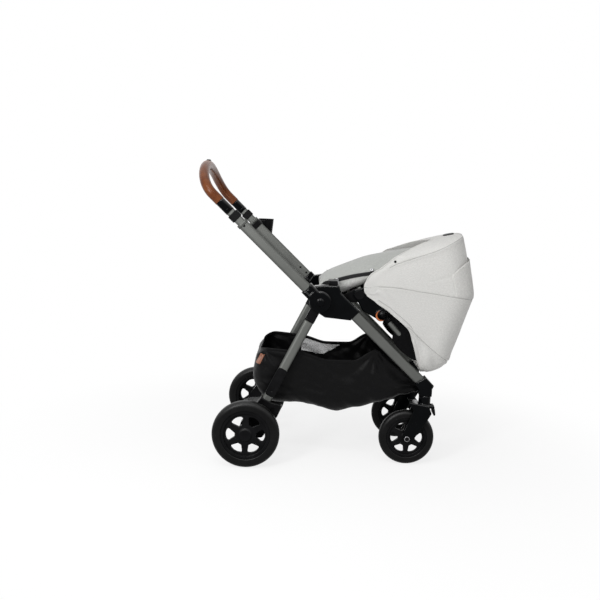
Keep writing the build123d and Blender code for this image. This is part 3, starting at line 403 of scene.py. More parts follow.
class Surface:
    """A material in the making: its nodes, its shader and the coordinates that its patterns follow."""

    def __init__(self, name, rough, metallic=0.0, specular=0.5, coordinates="Object", **sockets):
        self.material = bpy.data.materials.new(name)
        self.material.use_nodes = True
        self.tree = self.material.node_tree
        self.shader = self.tree.nodes["Principled BSDF"]
        self.place = add_node(self.tree, "TexCoord").outputs[coordinates]
        self.normal = None
        values = {"Roughness": rough, "Metallic": metallic, "Specular IOR Level": specular}
        values.update({key.replace("_", " "): value for key, value in sockets.items()})
        for key, value in values.items():
            self.shader.inputs[key].default_value = value

    def feed(self, socket, value):
        self.tree.links.new(value, self.shader.inputs[socket])

    def show(self, shader):
        self.tree.links.new(shader, self.tree.nodes["Material Output"].inputs["Surface"])

    def maths(self, operation, a, b=0.0):
        return maths(self.tree, operation, a, b)

    def noise(self, scale, detail=4.0, rough=0.55, stretch=None):
        """A cloudy pattern; stretch scales its axes apart."""
        place = self.place
        if stretch:
            place = add_node(self.tree, "Mapping", {"Vector": place, "Scale": stretch}).outputs["Vector"]
        inputs = {"Vector": place, "Scale": scale, "Detail": detail, "Roughness": rough}
        return add_node(self.tree, "TexNoise", inputs).outputs["Fac"]

    def colour(self, factor, dark, light, low=0.3, high=0.7):
        """Colours from dark to light by a factor."""
        ramp = add_node(self.tree, "ValToRGB", {"Fac": factor})
        for stop, place, shade in zip(ramp.color_ramp.elements, (low, high), (dark, light)):
            stop.position = place
            stop.color = (*shade, 1)
        self.feed("Base Color", ramp.outputs["Color"])
        return ramp.outputs["Color"]

    def rough(self, factor, low, high):
        self.feed("Roughness", spread(self.tree, factor, low, high))

    def soften_edges(self, radius, samples):
        """Rounds the look of sharp edges, by a radius in millimetres."""
        self.normal = add_node(self.tree, "Bevel", {"Radius": radius * MM}, samples=samples).outputs["Normal"]

    def paint_top_highlight(self, low, high):
        """Painted highlight: gloss made stronger on what faces up, standing in for a broad lamp overhead."""
        normal = self.normal
        if normal is None:
            normal = add_node(self.tree, "NewGeometry").outputs["Normal"]
        up = add_node(self.tree, "SeparateXYZ", {"Vector": normal}).outputs["Z"]
        self.feed("Specular IOR Level", spread(self.tree, up, low, high, 0.08, 0.7, "SMOOTHSTEP"))

    def bump(self, height, distance, strength):
        """Relief with a depth in millimetres, on top of any before it."""
        inputs = {"Height": height, "Distance": distance * MM, "Strength": strength}
        if self.normal is not None:
            inputs["Normal"] = self.normal
        self.normal = add_node(self.tree, "Bump", inputs).outputs["Normal"]
        self.feed("Normal", self.normal)


def tube_metal():
    """Satin anodised aluminium: a fine blasted grain under a slightly uneven film."""
    # The grey edge tint is painted shade: it darkens the tube's reflection towards its edges, as dark
    # surroundings round the lamps would.
    metal = Surface("tube_metal", 0.34, metallic=1.0, Specular_Tint=(0.35, 0.35, 0.35, 1))
    grain = metal.noise(1500.0, 2.0)
    metal.colour(metal.noise(9.0, 3.0), (0.122, 0.126, 0.119), (0.14, 0.144, 0.136))
    metal.rough(grain, 0.44, 0.54)
    metal.soften_edges(11, 16)
    metal.bump(grain, 0.02, 0.3)
    return metal.material


def black_gloss():
    """Polished black moulding with faint flow marks."""
    gloss = Surface("black_gloss", 0.13, specular=0.05)
    cloud = gloss.noise(22.0, 3.0)
    gloss.colour(cloud, (0.0008, 0.001, 0.0013), (0.0016, 0.002, 0.0025))
    gloss.rough(cloud, 0.09, 0.17)
    gloss.soften_edges(9, 16)
    # Painted highlight: stronger gloss on what faces up.
    gloss.paint_top_highlight(0.045, 0.55)
    gloss.bump(gloss.noise(420.0, 2.0), 0.03, 0.25)
    return gloss.material


def black_plastic():
    """Spark-textured black moulding."""
    plastic = Surface("black_plastic", 0.42, specular=0.035)
    fine = plastic.noise(900.0, 3.0, 0.7)
    plastic.colour(plastic.noise(30.0, 3.0), (0.0035, 0.0035, 0.0038), (0.0065, 0.0065, 0.007))
    plastic.rough(fine, 0.28, 0.44)
    plastic.soften_edges(3, 8)
    # Painted highlight: stronger gloss on what faces up.
    plastic.paint_top_highlight(0.035, 0.2)
    plastic.bump(fine, 0.12, 0.4)
    return plastic.material


def tyre_rubber():
    """Foam-filled rubber with a dusty bloom."""
    rubber = Surface("tyre_rubber", 0.4, specular=0.1)
    cloud = rubber.noise(18.0, 5.0, 0.65)
    rubber.colour(cloud, (0.0032, 0.0032, 0.0033), (0.0068, 0.0068, 0.0068))
    rubber.rough(cloud, 0.34, 0.44)
    # Painted highlight: stronger gloss on what faces up.
    rubber.paint_top_highlight(0.07, 0.3)
    rubber.bump(rubber.noise(700.0, 3.0), 0.2, 0.5)
    return rubber.material


def soft_rubber():
    rubber = Surface("soft_rubber", 0.5, specular=0.06)
    fine = rubber.noise(600.0, 2.0)
    rubber.colour(fine, (0.004, 0.004, 0.0042), (0.008, 0.008, 0.0084))
    rubber.rough(fine, 0.42, 0.58)
    rubber.bump(fine, 0.15, 0.5)
    return rubber.material


def brushed_steel():
    steel = Surface("brushed_steel", 0.3, metallic=1.0)
    grain = steel.noise(4.0, 3.0, stretch=(900, 60, 900))
    steel.colour(grain, (0.36, 0.36, 0.37), (0.55, 0.55, 0.56))
    steel.rough(grain, 0.22, 0.4)
    steel.bump(grain, 0.03, 0.5)
    return steel.material


def accent_plastic():
    plastic = Surface("accent_plastic", 0.45)
    fine = plastic.noise(500.0, 2.0)
    plastic.colour(fine, (0.33, 0.075, 0.01), (0.43, 0.11, 0.018))
    plastic.bump(fine, 0.1, 0.5)
    return plastic.material


def leather(name, dark, light):
    """Leather with a pebbled grain, creases, and colour rubbed darker in patches."""
    hide = Surface(name, 0.34, specular=0.16)
    cloud = hide.noise(22.0, 6.0, 0.65)
    pebbles = add_node(hide.tree, "TexVoronoi", {"Vector": hide.place, "Scale": 620.0}).outputs["Distance"]
    hide.colour(cloud, dark, light)
    hide.rough(cloud, 0.2, 0.33)
    hide.bump(pebbles, 0.2, 0.35)
    hide.bump(hide.noise(160.0, 5.0, 0.65), 0.3, 0.35)
    return hide.material


def woven(name, dark, light, pitch, rough=0.85, sheen=0.25, coordinates="UV", slub=0.35, specular=0.15,
          thin=0.0):
    """Plain-weave cloth with a thread pitch in millimetres; thin lets light through."""
    cloth = Surface(name, rough, 0.0, specular, coordinates, Sheen_Weight=sheen, Sheen_Roughness=0.55)
    parts = add_node(cloth.tree, "SeparateXYZ", {"Vector": cloth.place}).outputs
    slope = cloth.maths("MULTIPLY", parts["Z"], 0.7)

    def threads(axis):
        along = cloth.maths("ADD", parts[axis], slope)
        return cloth.maths("SINE", cloth.maths("MULTIPLY", along, 2 * math.pi / (pitch * MM)))

    weave = spread(cloth.tree, cloth.maths("MULTIPLY", threads("X"), threads("Y")), 0.2, 0.8)
    along = cloth.noise(1.0, 4.0, 0.7, (90, 1100, 90))
    across = cloth.noise(1.0, 4.0, 0.7, (1100, 90, 1100))
    yarn = cloth.maths("MULTIPLY", cloth.maths("ADD", along, across), 0.5)
    cloud = cloth.maths("MULTIPLY", cloth.noise(130.0, 3.0, 0.6), slub)
    blotch = cloth.maths("ADD", cloth.maths("MULTIPLY", yarn, 1.0 - slub), cloud)
    relief = cloth.maths("MULTIPLY", cloth.maths("SUBTRACT", weave, 0.5), 0.12)
    colour = cloth.colour(cloth.maths("ADD", blotch, relief), dark, light, 0.375, 0.625)
    if thin:
        through = add_node(cloth.tree, "BsdfTranslucent", {"Color": colour}).outputs["BSDF"]
        cloth.show(mix_shaders(cloth.tree, thin, cloth.shader.outputs["BSDF"], through))
    cloth.bump(weave, pitch * 0.18, 0.5)
    cloth.bump(yarn, 0.3, 0.35)
    return cloth.material


NET_PITCH = 3.0
NET_THREAD = 0.5


def net_cloth():
    """Open black netting: small round holes in a fine grid."""
    net = Surface("net_cloth", 0.7, specular=0.1, coordinates="UV")
    parts = add_node(net.tree, "SeparateXYZ", {"Vector": net.place}).outputs
    rate = 2 * math.pi / (NET_PITCH * MM)
    waves = [net.maths("COSINE", net.maths("MULTIPLY", parts[axis], rate)) for axis in ("X", "Y")]
    hole = net.maths("GREATER_THAN", net.maths("ADD", *waves), NET_THREAD)
    net.colour(net.noise(40.0), (0.01, 0.01, 0.011), (0.022, 0.022, 0.024))
    net.feed("Alpha", net.maths("SUBTRACT", 1.0, hole))
    return net.material


def canopy_cloth():
    return woven("canopy_fabric", (0.6, 0.595, 0.575), (0.86, 0.855, 0.835), 1.1, slub=0.17, thin=0.3)


def seat_cloth():
    dark, light = (0.255, 0.262, 0.25), (0.415, 0.425, 0.405)
    return woven("seat_fabric", dark, light, 1.1, coordinates="Object", slub=0.15)


def basket_cloth():
    dark, light = (0.0009, 0.0009, 0.001), (0.0028, 0.0028, 0.0031)
    return woven("basket_fabric", dark, light, 1.4, 0.42, 0.03, specular=0.08)


def lining_cloth():
    dark, light = (0.002, 0.002, 0.0022), (0.005, 0.005, 0.0054)
    return woven("lining", dark, light, 1.2, 0.8, 0.02, coordinates="Object", specular=0.03)


MATERIALS = {
    "tube": tube_metal(),
    "black_gloss": black_gloss(),
    "black_plastic": black_plastic(),
    "tyre": tyre_rubber(),
    "rubber": soft_rubber(),
    "leather": leather("leather", (0.066, 0.0155, 0.0038), (0.145, 0.043, 0.0112)),
    "steel": brushed_steel(),
    "canopy_fabric": canopy_cloth(),
    "seat_fabric": seat_cloth(),
    "basket_fabric": basket_cloth(),
    "accent": accent_plastic(),
}
NET = net_cloth()
SIDE_CLOTH = woven("side_cloth", (0.36, 0.365, 0.35), (0.6, 0.605, 0.585), 1.1)
LINING = lining_cloth()
# Seam thread, darker than the canopy cloth: its colour is partly the thread and partly painted shade of the
# seam grooves.
SEAM_THREAD_AND_SHADE = woven("seam_thread_and_shade", (0.3, 0.298, 0.285), (0.42, 0.415, 0.4), 0.4, coordinates="Object")
THREAD_BROWN = woven("thread_brown", (0.2, 0.08, 0.03), (0.36, 0.16, 0.07), 0.4, coordinates="Object")
TAPE = woven("tape", (0.011, 0.011, 0.0115), (0.026, 0.026, 0.027), 0.8, 0.65, 0.1)
PATCH = leather("patch_leather", (0.2, 0.085, 0.055), (0.31, 0.145, 0.095))


def dress_frame():
    """Every CAD node takes the finish of its slot in the record."""
    for part in frame["record"]["subparts"]:
        node = frame["nodes"][part["node"]]
        node.data.materials.clear()
        node.data.materials.append(MATERIALS[part["material_slot"]])


dress_frame()

# Canopy: one sheet over two bows, in places round its pivot

CANOPY_HALF_WIDTH = 198.5
CANOPY_CORNER = 100.0
CROWN_RISE = 10.0
# The crown's line over the bows: ahead of and above the pivot
CROWN_LINE = [
    (340.0, 202.0), (366.0, 117.0), (395.0, -12.0), (395.0, -30.0), (327.0, -245.0),
    (322.0, -270.0), (302.0, -293.0), (250.0, -323.0), (211.0, -318.0),
]
CROWN_ROOM = 5.0
# Seams and edges: distance from the pivot and angle in degrees, as seen on the canopy's side
FRONT_SEAM = [(24.0, 66.0), (60.0, 57.0), (115.0, 47.0), (194.0, 36.6), (288.0, 31.5), (402.0, 30.6)]
MID_SEAM = [(30.0, 8.0), (80.0, 3.1), (184.0, -2.2), (402.0, -5.2)]
LOWER_SEAM = [(205.0, -45.5), (228.0, -44.4), (300.0, -43.0), (420.0, -41.2)]
FLAP_FOLD = [(304.0, 11.0), (322.0, 13.2), (344.0, 15.2), (374.0, 16.8), (410.0, 17.2)]
SIDE_RIM = [
    (24.0, 179.0), (28.0, 138.0), (36.0, 108.0), (46.0, 95.0), (78.0, 66.0), (116.0, 57.3), (152.0, 52.4),
]
BACK_EDGE = [
    (24.0, -179.0), (28.0, -130.0), (36.0, -92.0), (50.0, -70.0), (113.0, -49.3), (207.0, -44.9),
    (255.0, -49.3), (337.0, -55.0), (402.0, -56.3),
]
# Each panel lies between two of them
PANELS = {"front": (FRONT_SEAM, MID_SEAM), "back": (MID_SEAM, BACK_EDGE)}
PANEL_SLACK = 2.0
# The visor's rim: out from the middle, then ahead of and above the pivot
VISOR_RIM = [
    (196.0, 62.7, 97.6), (195.0, 91.0, 120.0), (172.0, 112.0, 130.0), (142.0, 146.0, 146.0),
    (118.0, 172.0, 157.5), (80.0, 206.0, 169.5), (40.0, 230.0, 175.5), (0.0, 251.0, 179.0),
]
VISOR_START = 116.0
VISOR_SWELL = 7.0
VISOR_TILT = Vector((0, 0, 0.3))
FLAP_START = FLAP_FOLD[0][0]
FLAP_LIFT = 7.0
HEM_WIDTH = 13.0
THREAD_LIFT = 0.5
# Rows of points: along half an arch, then across each panel
FOOT_PLACES = [1.0, 5.0, 9.0, 13.0, 17.0, 21.0, 24.0, 26.0, 28.0, 31.0, 35.0]
WALL_START = 40.0
WALL_ROWS = 38
CORNER_ROWS = 24
TOP_ROWS = 16
PANEL_ROWS = {"visor": 28, "front": 62, "back": 90}
ROW_PITCH = 3.9
HEM_START = len(FOOT_PLACES) - 2
SEAM_START = len(FOOT_PLACES) + 9


def ray_reach(angle):
    """Distance from the pivot to the crown line, in a direction in degrees."""
    way = (math.cos(math.radians(angle)), math.sin(math.radians(angle)))
    for a, b in zip(CROWN_LINE, CROWN_LINE[1:]):
        along = (b[0] - a[0], b[1] - a[1])
        share = (a[0] * way[1] - a[1] * way[0]) / (way[0] * along[1] - way[1] * along[0])
        if 0 <= share <= 1:
            return math.hypot(a[0] + along[0] * share, a[1] + along[1] * share)
    return math.hypot(*CROWN_LINE[0 if angle > 0 else -1])


def reach_at(angle):
    """Reach of the cloth, its corners over the bows slightly rounded."""
    steps = (-1.4, -0.7, 0.0, 0.7, 1.4)
    return CROWN_ROOM + sum(ray_reach(angle + step) for step in steps) / len(steps)


def arch_stations():
    """Places along half an arch, from the pivot over the side and the corner to the crown."""
    stations = [("foot", r) for r in FOOT_PLACES]
    stations += [("wall", i / WALL_ROWS) for i in range(WALL_ROWS)]
    stations += [("corner", i / CORNER_ROWS) for i in range(CORNER_ROWS)]
    return stations + [("top", i / TOP_ROWS) for i in range(TOP_ROWS + 1)]


STATIONS = arch_stations()
CROWN = len(STATIONS) - 1


def arch_place(index, reach):
    """Distance from the pivot's axis, distance from the middle, and the outward way, on an arch."""
    kind, t = STATIONS[index]
    shoulder = reach - CANOPY_CORNER
    flat = CANOPY_HALF_WIDTH - CANOPY_CORNER
    if kind == "foot":
        return t, CANOPY_HALF_WIDTH, (0.0, 1.0)
    if kind == "wall":
        return WALL_START + (shoulder - WALL_START) * t, CANOPY_HALF_WIDTH, (0.0, 1.0)
    if kind == "corner":
        out = (math.sin(t * math.pi / 2), math.cos(t * math.pi / 2))
        return shoulder + CANOPY_CORNER * out[0], flat + CANOPY_CORNER * out[1], out
    return reach + CROWN_RISE * (1 - (1 - t) ** 2), flat * (1 - t), (1.0, 0.0)


VISOR_REACH = reach_at(FRONT_SEAM[-1][1])
VISOR_FIRST = next(k for k in range(CROWN) if arch_place(k, VISOR_REACH)[0] > VISOR_START)


def polar(r, angle, y):
    a = math.radians(angle)
    return Vector((r * math.cos(a), y, r * math.sin(a)))


def slack(share):
    """0 at a bow and 1 midway to the next."""
    return 4 * share * (1 - share)


def rim_curve(share):
    """The visor's rim from the side (0) to the middle (1), relative to the pivot."""
    lengths = running_lengths(VISOR_RIM)
    y, x, z = (interpolate(share * lengths[-1], list(zip(lengths, axis))) for axis in zip(*VISOR_RIM))
    return Vector((x, y, z))


def visor_place(index, share):
    """A place between the visor's rim (0) and the front seam (1), as panel_place gives it."""
    r, y, out = arch_place(index, VISOR_REACH)
    seam = interpolate(r, FRONT_SEAM)
    if r <= VISOR_START:
        rim = interpolate(r, SIDE_RIM)
        angle = rim + (seam - rim) * share
        return polar(r, angle, y), r, angle, LEFT
    along = (index - VISOR_FIRST) / (CROWN - VISOR_FIRST)
    p = rim_curve(along).lerp(polar(r, seam, y), share)
    angle = math.degrees(math.atan2(p.z, p.x))
    way = (polar(out[0], angle, out[1]) + VISOR_TILT).normalized()
    swell = VISOR_SWELL * slack(share) * smooth_step(along * 2.5)
    return p + way * swell, math.hypot(p.x, p.z), angle, way


def panel_place(index, panel, share):
    """Place relative to the pivot, its distance and angle there, and the outward way."""
    first, last = PANELS[panel]
    crown_angle = first[-1][1] + (last[-1][1] - first[-1][1]) * share
    r, y, out = arch_place(index, reach_at(crown_angle))
    angle = interpolate(r, first) * (1 - share) + interpolate(r, last) * share
    sag = PANEL_SLACK * slack(share) * out[1] * smooth_step((r - 60) / 90)
    return polar(r, angle, y - sag), r, angle, polar(out[0], angle, out[1])


def seam_dip(distance, deep=1.3):
    """Cloth drawn in along a sewn line and swelling beside it."""
    return 0.4 * deep * ridge(abs(distance) - 7, 4) - deep * ridge(distance, 2.6)


def seam_relief(r, angle):
    """The front, middle, hem and lower seams."""
    arc = math.radians(1) * r
    depth = seam_dip((angle - interpolate(r, FRONT_SEAM)) * arc) * smooth_step((r - 70) / 60)
    depth += seam_dip((angle - interpolate(r, MID_SEAM)) * arc)
    if r > 60:
        depth += seam_dip((angle - interpolate(r, BACK_EDGE)) * arc - HEM_WIDTH, 1.5)
    if r > LOWER_SEAM[0][0]:
        below = (interpolate(r, LOWER_SEAM) - angle) * arc
        depth += seam_dip(below, 2.4) + 1.6 * ridge(below - 11, 7) * smooth_step(below / 4)
    return depth


def fold_relief(r, angle):
    """The flap's step and its crease, the cloth pulled at the pivot, and the slack lower end."""
    arc = math.radians(1) * r
    depth = 0.0
    if r > FLAP_START:
        ahead = (angle - interpolate(r, FLAP_FOLD)) * arc
        depth -= 3.0 * smooth_step((r - 310) / 60) * ridge(ahead, 40)
    crease = (angle - FLAP_FOLD[0][1] + 0.04 * (FLAP_START - r)) * arc
    depth -= 1.6 * ridge(crease, 4) * smooth_step((r - 200) / 60) * smooth_step((312 - r) / 20)
    pulled = ridge(r - 62, 40) * smooth_step((8 - angle) / 25)
    edge = (angle - interpolate(r, BACK_EDGE)) * arc
    depth += 2.8 * pulled * math.sin(edge * 0.16 + r * 0.02)
    low = smooth_step((-40 - angle) / 6) * smooth_step((r - 215) / 60)
    return depth + 1.8 * low * math.sin(r * 0.075 + angle * 0.5)


def wave_relief(p):
    """Broad and small soft waves."""
    broad = ripple(p.x * 0.009, p.z * 0.009, 3.7 + p.y * 0.004)
    return 1.1 * broad + 0.5 * ripple(p.x * 0.03, p.z * 0.03, 9.1 + p.y * 0.01)


def canopy_vertex(index, part, share, sign, lift=0.0):
    """A point of the cloth on one side, lifted off it by some millimetres."""
    p, r, angle, out = visor_place(index, share) if part == "visor" else panel_place(index, part, share)
    if r > 20:
        lift += seam_relief(r, angle) + fold_relief(r, angle) + wave_relief(Vector((p.x, sign * p.y, p.z)))
    p = p + out * lift
    return at(CANOPY_PIVOT[0] + p.x, sign * p.y, CANOPY_PIVOT[1] + p.z)


def over_crown(right, left):
    """Joins two halves that end at the same point in the middle."""
    return right + left[-2::-1]


def canopy_line(part, share, start=0, lift=0.0):
    """A line across the whole canopy, from the right pivot over the crown to the left one."""
    indices = range(start, len(STATIONS))
    return over_crown(*([canopy_vertex(k, part, share, sign, lift) for k in indices] for sign, _ in SIDES))


def make_canopy():
    shares = [(part, i / count) for part, count in PANEL_ROWS.items() for i in range(count)]
    rows = [canopy_line(part, share) for part, share in shares + [("back", 1.0)]]
    uvs = []
    for i, row in enumerate(rows):
        lengths = running_lengths(row)
        uvs.append([(d - lengths[-1] / 2, i * ROW_PITCH * MM) for d in lengths])
    return face_out(grid_object("canopy_skin", rows, MATERIALS["canopy_fabric"], uvs))


canopy = make_canopy()
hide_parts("canopy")


def drawn_line(sign, panel, crown_angle, span, angle_at, lift_at):
    """Half a line drawn on a panel: its angle and lift by distance from the pivot, within a span."""
    points = []
    for k in range(len(STATIONS)):
        r = arch_place(k, reach_at(crown_angle))[0]
        if span[0] <= r < span[1]:
            first, last = (interpolate(r, edge) for edge in PANELS[panel])
            share = min(1.0, (angle_at(r) - first) / (last - first))
            points.append(canopy_vertex(k, panel, share, sign, lift_at(r)))
    return points


def lower_seam_line(sign):
    """Half the sewn line that closes the canopy's lower end."""

    def seam(r):
        return interpolate(r, LOWER_SEAM)

    span = (LOWER_SEAM[0][0] + 8, math.inf)
    return drawn_line(sign, "back", LOWER_SEAM[-1][1], span, seam, lambda r: 0.9)


def hem_stitch_line(sign):
    """The sewn line a finger's width inside the back edge, from the pivot down."""

    def inside(r):
        return interpolate(r, BACK_EDGE) + math.degrees(HEM_WIDTH / r)

    return drawn_line(sign, "back", BACK_EDGE[-1][1], (48.0, 205.0), inside, lambda r: THREAD_LIFT)


def canopy_cords():
    """Hems and sewn lines, as cords on the cloth."""
    hem = MATERIALS["canopy_fabric"]
    lines = [
        ("canopy_rim_hem", canopy_line("visor", 0.0, HEM_START), 1.9, hem),
        ("canopy_back_hem", canopy_line("back", 1.0, HEM_START), 1.7, hem),
        # The sewn lines' thread is darker than the cloth, partly painted shade of their grooves.
        ("canopy_front_seam", canopy_line("front", 0.0, SEAM_START, THREAD_LIFT), 0.75, SEAM_THREAD_AND_SHADE),
        ("canopy_mid_seam", canopy_line("back", 0.0, HEM_START, THREAD_LIFT), 0.8, SEAM_THREAD_AND_SHADE),
        ("canopy_hem_stitch_right", hem_stitch_line(-1), 0.7, SEAM_THREAD_AND_SHADE),
        ("canopy_hem_stitch_left", hem_stitch_line(1), 0.7, SEAM_THREAD_AND_SHADE),
        ("canopy_lower_seam", over_crown(lower_seam_line(-1), lower_seam_line(1)), 0.8, SEAM_THREAD_AND_SHADE),
    ]
    cords = []
    for name, line, radius, material in lines:
        cord = tube_object(name, resample(line, 5 * MM), radius, material, 8, Vector((0.3, 0.9, 0.3)))
        cords.append(place_piece(cord, None))
    return cords


VENT_STEPS = 12
VENT_HALF = 26.0
VENT_START = 0.36
VENT_LENGTH = 0.36
VENT_LIFT = 1.6


def canopy_vent():
    """A small black vent patch on the visor's crown."""
    rows, uvs = [], []
    columns = range(-VENT_STEPS // 2, VENT_STEPS // 2 + 1)
    for i in range(VENT_STEPS + 1):
        share = VENT_START + VENT_LENGTH * i / VENT_STEPS
        half = VENT_HALF * math.sqrt(max(0.0, 1 - (2 * i / VENT_STEPS - 1) ** 2)) + 0.5
        crown = canopy_vertex(CROWN, "visor", share, 1, VENT_LIFT)
        way = (canopy_vertex(CROWN - 3, "visor", share, 1, VENT_LIFT) - crown).normalized()
        step = way * (half * 2 / VENT_STEPS * MM)
        rows.append([crown + step * k - UP * (abs(k) * 0.02 * MM) for k in columns])
        uvs.append([(k * 4 * MM, i * 4 * MM) for k in columns])
    vent = thicken(face_towards(grid_object("canopy_vent", rows, TAPE, uvs), UP), 4.0, 1.0)
    return place_piece(vent, None)


FLAP_ROWS = 18
FLAP_CROWN = 5.0


def flap_line(sign, along):
    """Half a line across the flap, at a share of the way from the middle bow to its free edge."""

    def angle_at(r):
        mid = interpolate(r, MID_SEAM)
        return mid + (interpolate(r, FLAP_FOLD) - mid) * along

    def lift_at(r):
        return 0.8 + FLAP_LIFT * smooth_step((r - FLAP_START) / 70) * along**2

    return drawn_line(sign, "front", FLAP_CROWN, (FLAP_START, math.inf), angle_at, lift_at)


def canopy_flap():
    """A second layer over the crown, from the middle bow forwards to its free edge."""
    shares = [i / FLAP_ROWS for i in range(FLAP_ROWS + 1)]
    rows = [over_crown(flap_line(-1, along), flap_line(1, along)) for along in shares]
    uvs = [[(k * 5.2 * MM, i * 6.2 * MM) for k in range(len(row))] for i, row in enumerate(rows)]
    flap = face_out(grid_object("canopy_flap", rows, MATERIALS["canopy_fabric"], uvs))
    return place_piece(thicken(flap, 1.2, 0.0), None)


VISOR_SNAP = (521.0, 776.0)


def visor_snap(sign, side):
    """A snap on the visor's side, near the rim."""
    place = at(VISOR_SNAP[0], sign * (CANOPY_HALF_WIDTH + 0.4), VISOR_SNAP[1])
    return dome_object(f"canopy_snap_{side}", place, (0, sign, 0), 4.6, 2.4, None, "black_plastic", 0.35)


canopy_trim = canopy_cords() + [canopy_vent(), canopy_flap()]
canopy_snaps = [visor_snap(sign, side) for sign, side in SIDES]


def front_bow_rod():
    """The flat spring bow under the visor's seam."""
    line = resample(canopy_line("front", 0.03, 3, -5.0), 8 * MM)
    rod = tube_object("front_bow_rod", line, 4.0, MATERIALS["black_plastic"], 10, Vector((0, 1, 0.2)), 0.6)
    place_piece(rod, "canopy_front_bow")
    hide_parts("canopy_front_bow")


front_bow_rod()

# Padded pieces swell as cloth does

SWELL_PRESSURE = 4.0
SWELL_FRAMES = 20


def inflate(pad, cap, voxel, held):
    """Remeshes a closed pad and lets cloth pressure swell it, each point by no more than cap."""
    remesh = pad.modifiers.new("remesh", "REMESH")
    remesh.mode = "VOXEL"
    remesh.voxel_size = voxel * MM
    bake(pad)
    rest = [v.co.copy() for v in pad.data.vertices]
    group = pad.vertex_groups.new(name="held")
    for v in pad.data.vertices:
        group.add([v.index], held(v.co), "REPLACE")
    cloth = pad.modifiers.new("cloth", "CLOTH")
    cloth.settings.vertex_group_mass = "held"
    cloth.settings.use_pressure = True
    cloth.settings.uniform_pressure_force = SWELL_PRESSURE
    cloth.settings.effector_weights.gravity = 0.0
    scene = bpy.context.scene
    for step in range(1, SWELL_FRAMES + 1):
        scene.frame_set(step)
    bake(pad)
    scene.frame_set(1)
    for v, start in zip(pad.data.vertices, rest):
        move = v.co - start
        if move.length > cap * MM:
            v.co = start + move * (cap * MM / move.length)
    pad.data.update()
    return pad


def soften(pad):
    """Smooths away the marks of the remesh."""
    smooth = pad.modifiers.new("smooth", "SMOOTH")
    smooth.factor = 0.5
    smooth.iterations = 3
    fine = pad.modifiers.new("fine", "SUBSURF")
    fine.levels = fine.render_levels = 1
    return bake(pad)


# Leg cover: a padded apron zipped to the seat's rails

APRON_CROWN = [
    (249.0, 668.0), (252.0, 682.0), (258.0, 693.0), (272.0, 708.0), (309.0, 729.0), (367.0, 754.0),
    (441.0, 783.0), (503.0, 795.0), (545.0, 805.0), (582.0, 812.5), (622.0, 820.0),
]
APRON_START = APRON_CROWN[0][0]
APRON_END = APRON_CROWN[-1][0]
APRON_ROWS = 110
APRON_COLUMNS = 80
APRON_PAD = 11.0
APRON_EDGE = 3.0
APRON_SWELL = 5.0
APRON_VOXEL = 3.2
HELD_EDGE = 9.0
# Beyond the zips the cover's edges are free, and thicker
FREE_START = 455.0
FREE_EDGE = 9.0


def rail_height(x):
    return RAIL_START[1] + (x - RAIL_START[0]) * RAIL_SLOPE


def apron_height(x, across):
    """Height of the cover over the rail at a share of its half width."""
    base = rail_height(x)
    crown = max(0.5, interpolate(x, APRON_CROWN) - base)
    return base + crown * (1 - abs(across) ** 2.7) ** 0.62


def apron_points():
    """The cover's upper and under sides, row by row from the foot end."""
    upper, under = [], []
    for i in range(APRON_ROWS + 1):
        x = APRON_START + (APRON_END - APRON_START) * (i / APRON_ROWS) ** 1.45
        free = smooth_step((x - FREE_START) / 40)
        thin = APRON_EDGE + (FREE_EDGE - APRON_EDGE) * free
        for j in range(APRON_COLUMNS + 1):
            a = -1 + 2 * j / APRON_COLUMNS
            across = math.copysign(1 - (1 - abs(a)) ** 1.5, a)
            y, z = across * SEAT_HALF_WIDTH, apron_height(x, across)
            crease = 1.4 * math.sin(x * 0.07 + 3 * across) * ridge(abs(across) - 0.93, 0.07)
            relief = 1.5 * ripple(x * 0.016, across * 2.0, 1.3) + crease
            inner = 1 - smooth_step((abs(across) - 0.94) / 0.06)
            deep = thin + (APRON_PAD - thin) * inner
            upper.append(at(x, y, z - 2.0 + relief * inner))
            inset = 0.04 * max(inner, free)
            floor = rail_height(x) - 6 - 6 * free
            under.append(at(x + 4 * inner, y * (1 - inset), max(z - deep, floor)))
    return upper + under


def shell_faces(rows, columns):
    """Faces of an upper and an under sheet of points, joined round their edges."""
    wide = columns + 1
    offset = wide * (rows + 1)
    upper = quads(rows + 1, wide, False)
    under = [tuple(offset + k for k in reversed(face)) for face in upper]
    edge = [i * wide + j for i, j in border(0, rows, columns)]
    return upper + under + [(b, a, offset + a, offset + b) for a, b in zip(edge, edge[1:])]


def apron_held(co):
    """The zipped edges stay where they are while the cover swells."""
    return 1.0 if abs(co.y - MIDDLE_Y) / MM > SEAT_HALF_WIDTH - HELD_EDGE else 0.0


def make_apron():
    faces = shell_faces(APRON_ROWS, APRON_COLUMNS)
    cover = face_out(mesh_object("leg_cover", apron_points(), faces, MATERIALS["seat_fabric"]))
    return soften(inflate(cover, APRON_SWELL, APRON_VOXEL, apron_held))


apron = make_apron()
place_piece(apron, "seat")
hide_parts("seat_apron")

# Zips along the rails, with their pulls and the snaps above them

ZIP_LINE = [(256.0, 674.0), (268.0, 681.0), (308.0, 694.0), (378.0, 714.0), (430.0, 724.0), (468.0, 731.0)]
ZIP_HALF = 7.0
ZIP_STEP = 2.0
ZIP_STEPS = 106
# Half the tape's section: its height on the tape and its place out from the rail
ZIP_SECTION = [(-ZIP_HALF, -1.0), (-ZIP_HALF, 1.2), (-4.0, 2.0), (-0.8, 2.2)]
ZIP_GROOVE = (0.0, 1.5)
TEETH_SPAN = (262, 466)
TEETH_HEIGHTS = (-0.9, 0.9)
TEETH_OUT = 2.1
ZIP_PULL_X = 313.0
# The pull's tab: ahead of, out from and above its slider
ZIP_TAB = [(2, 2.6, -1), (4, 3.4, -8), (3, 2.6, -20)]
APRON_SNAP = (441.0, 739.0)


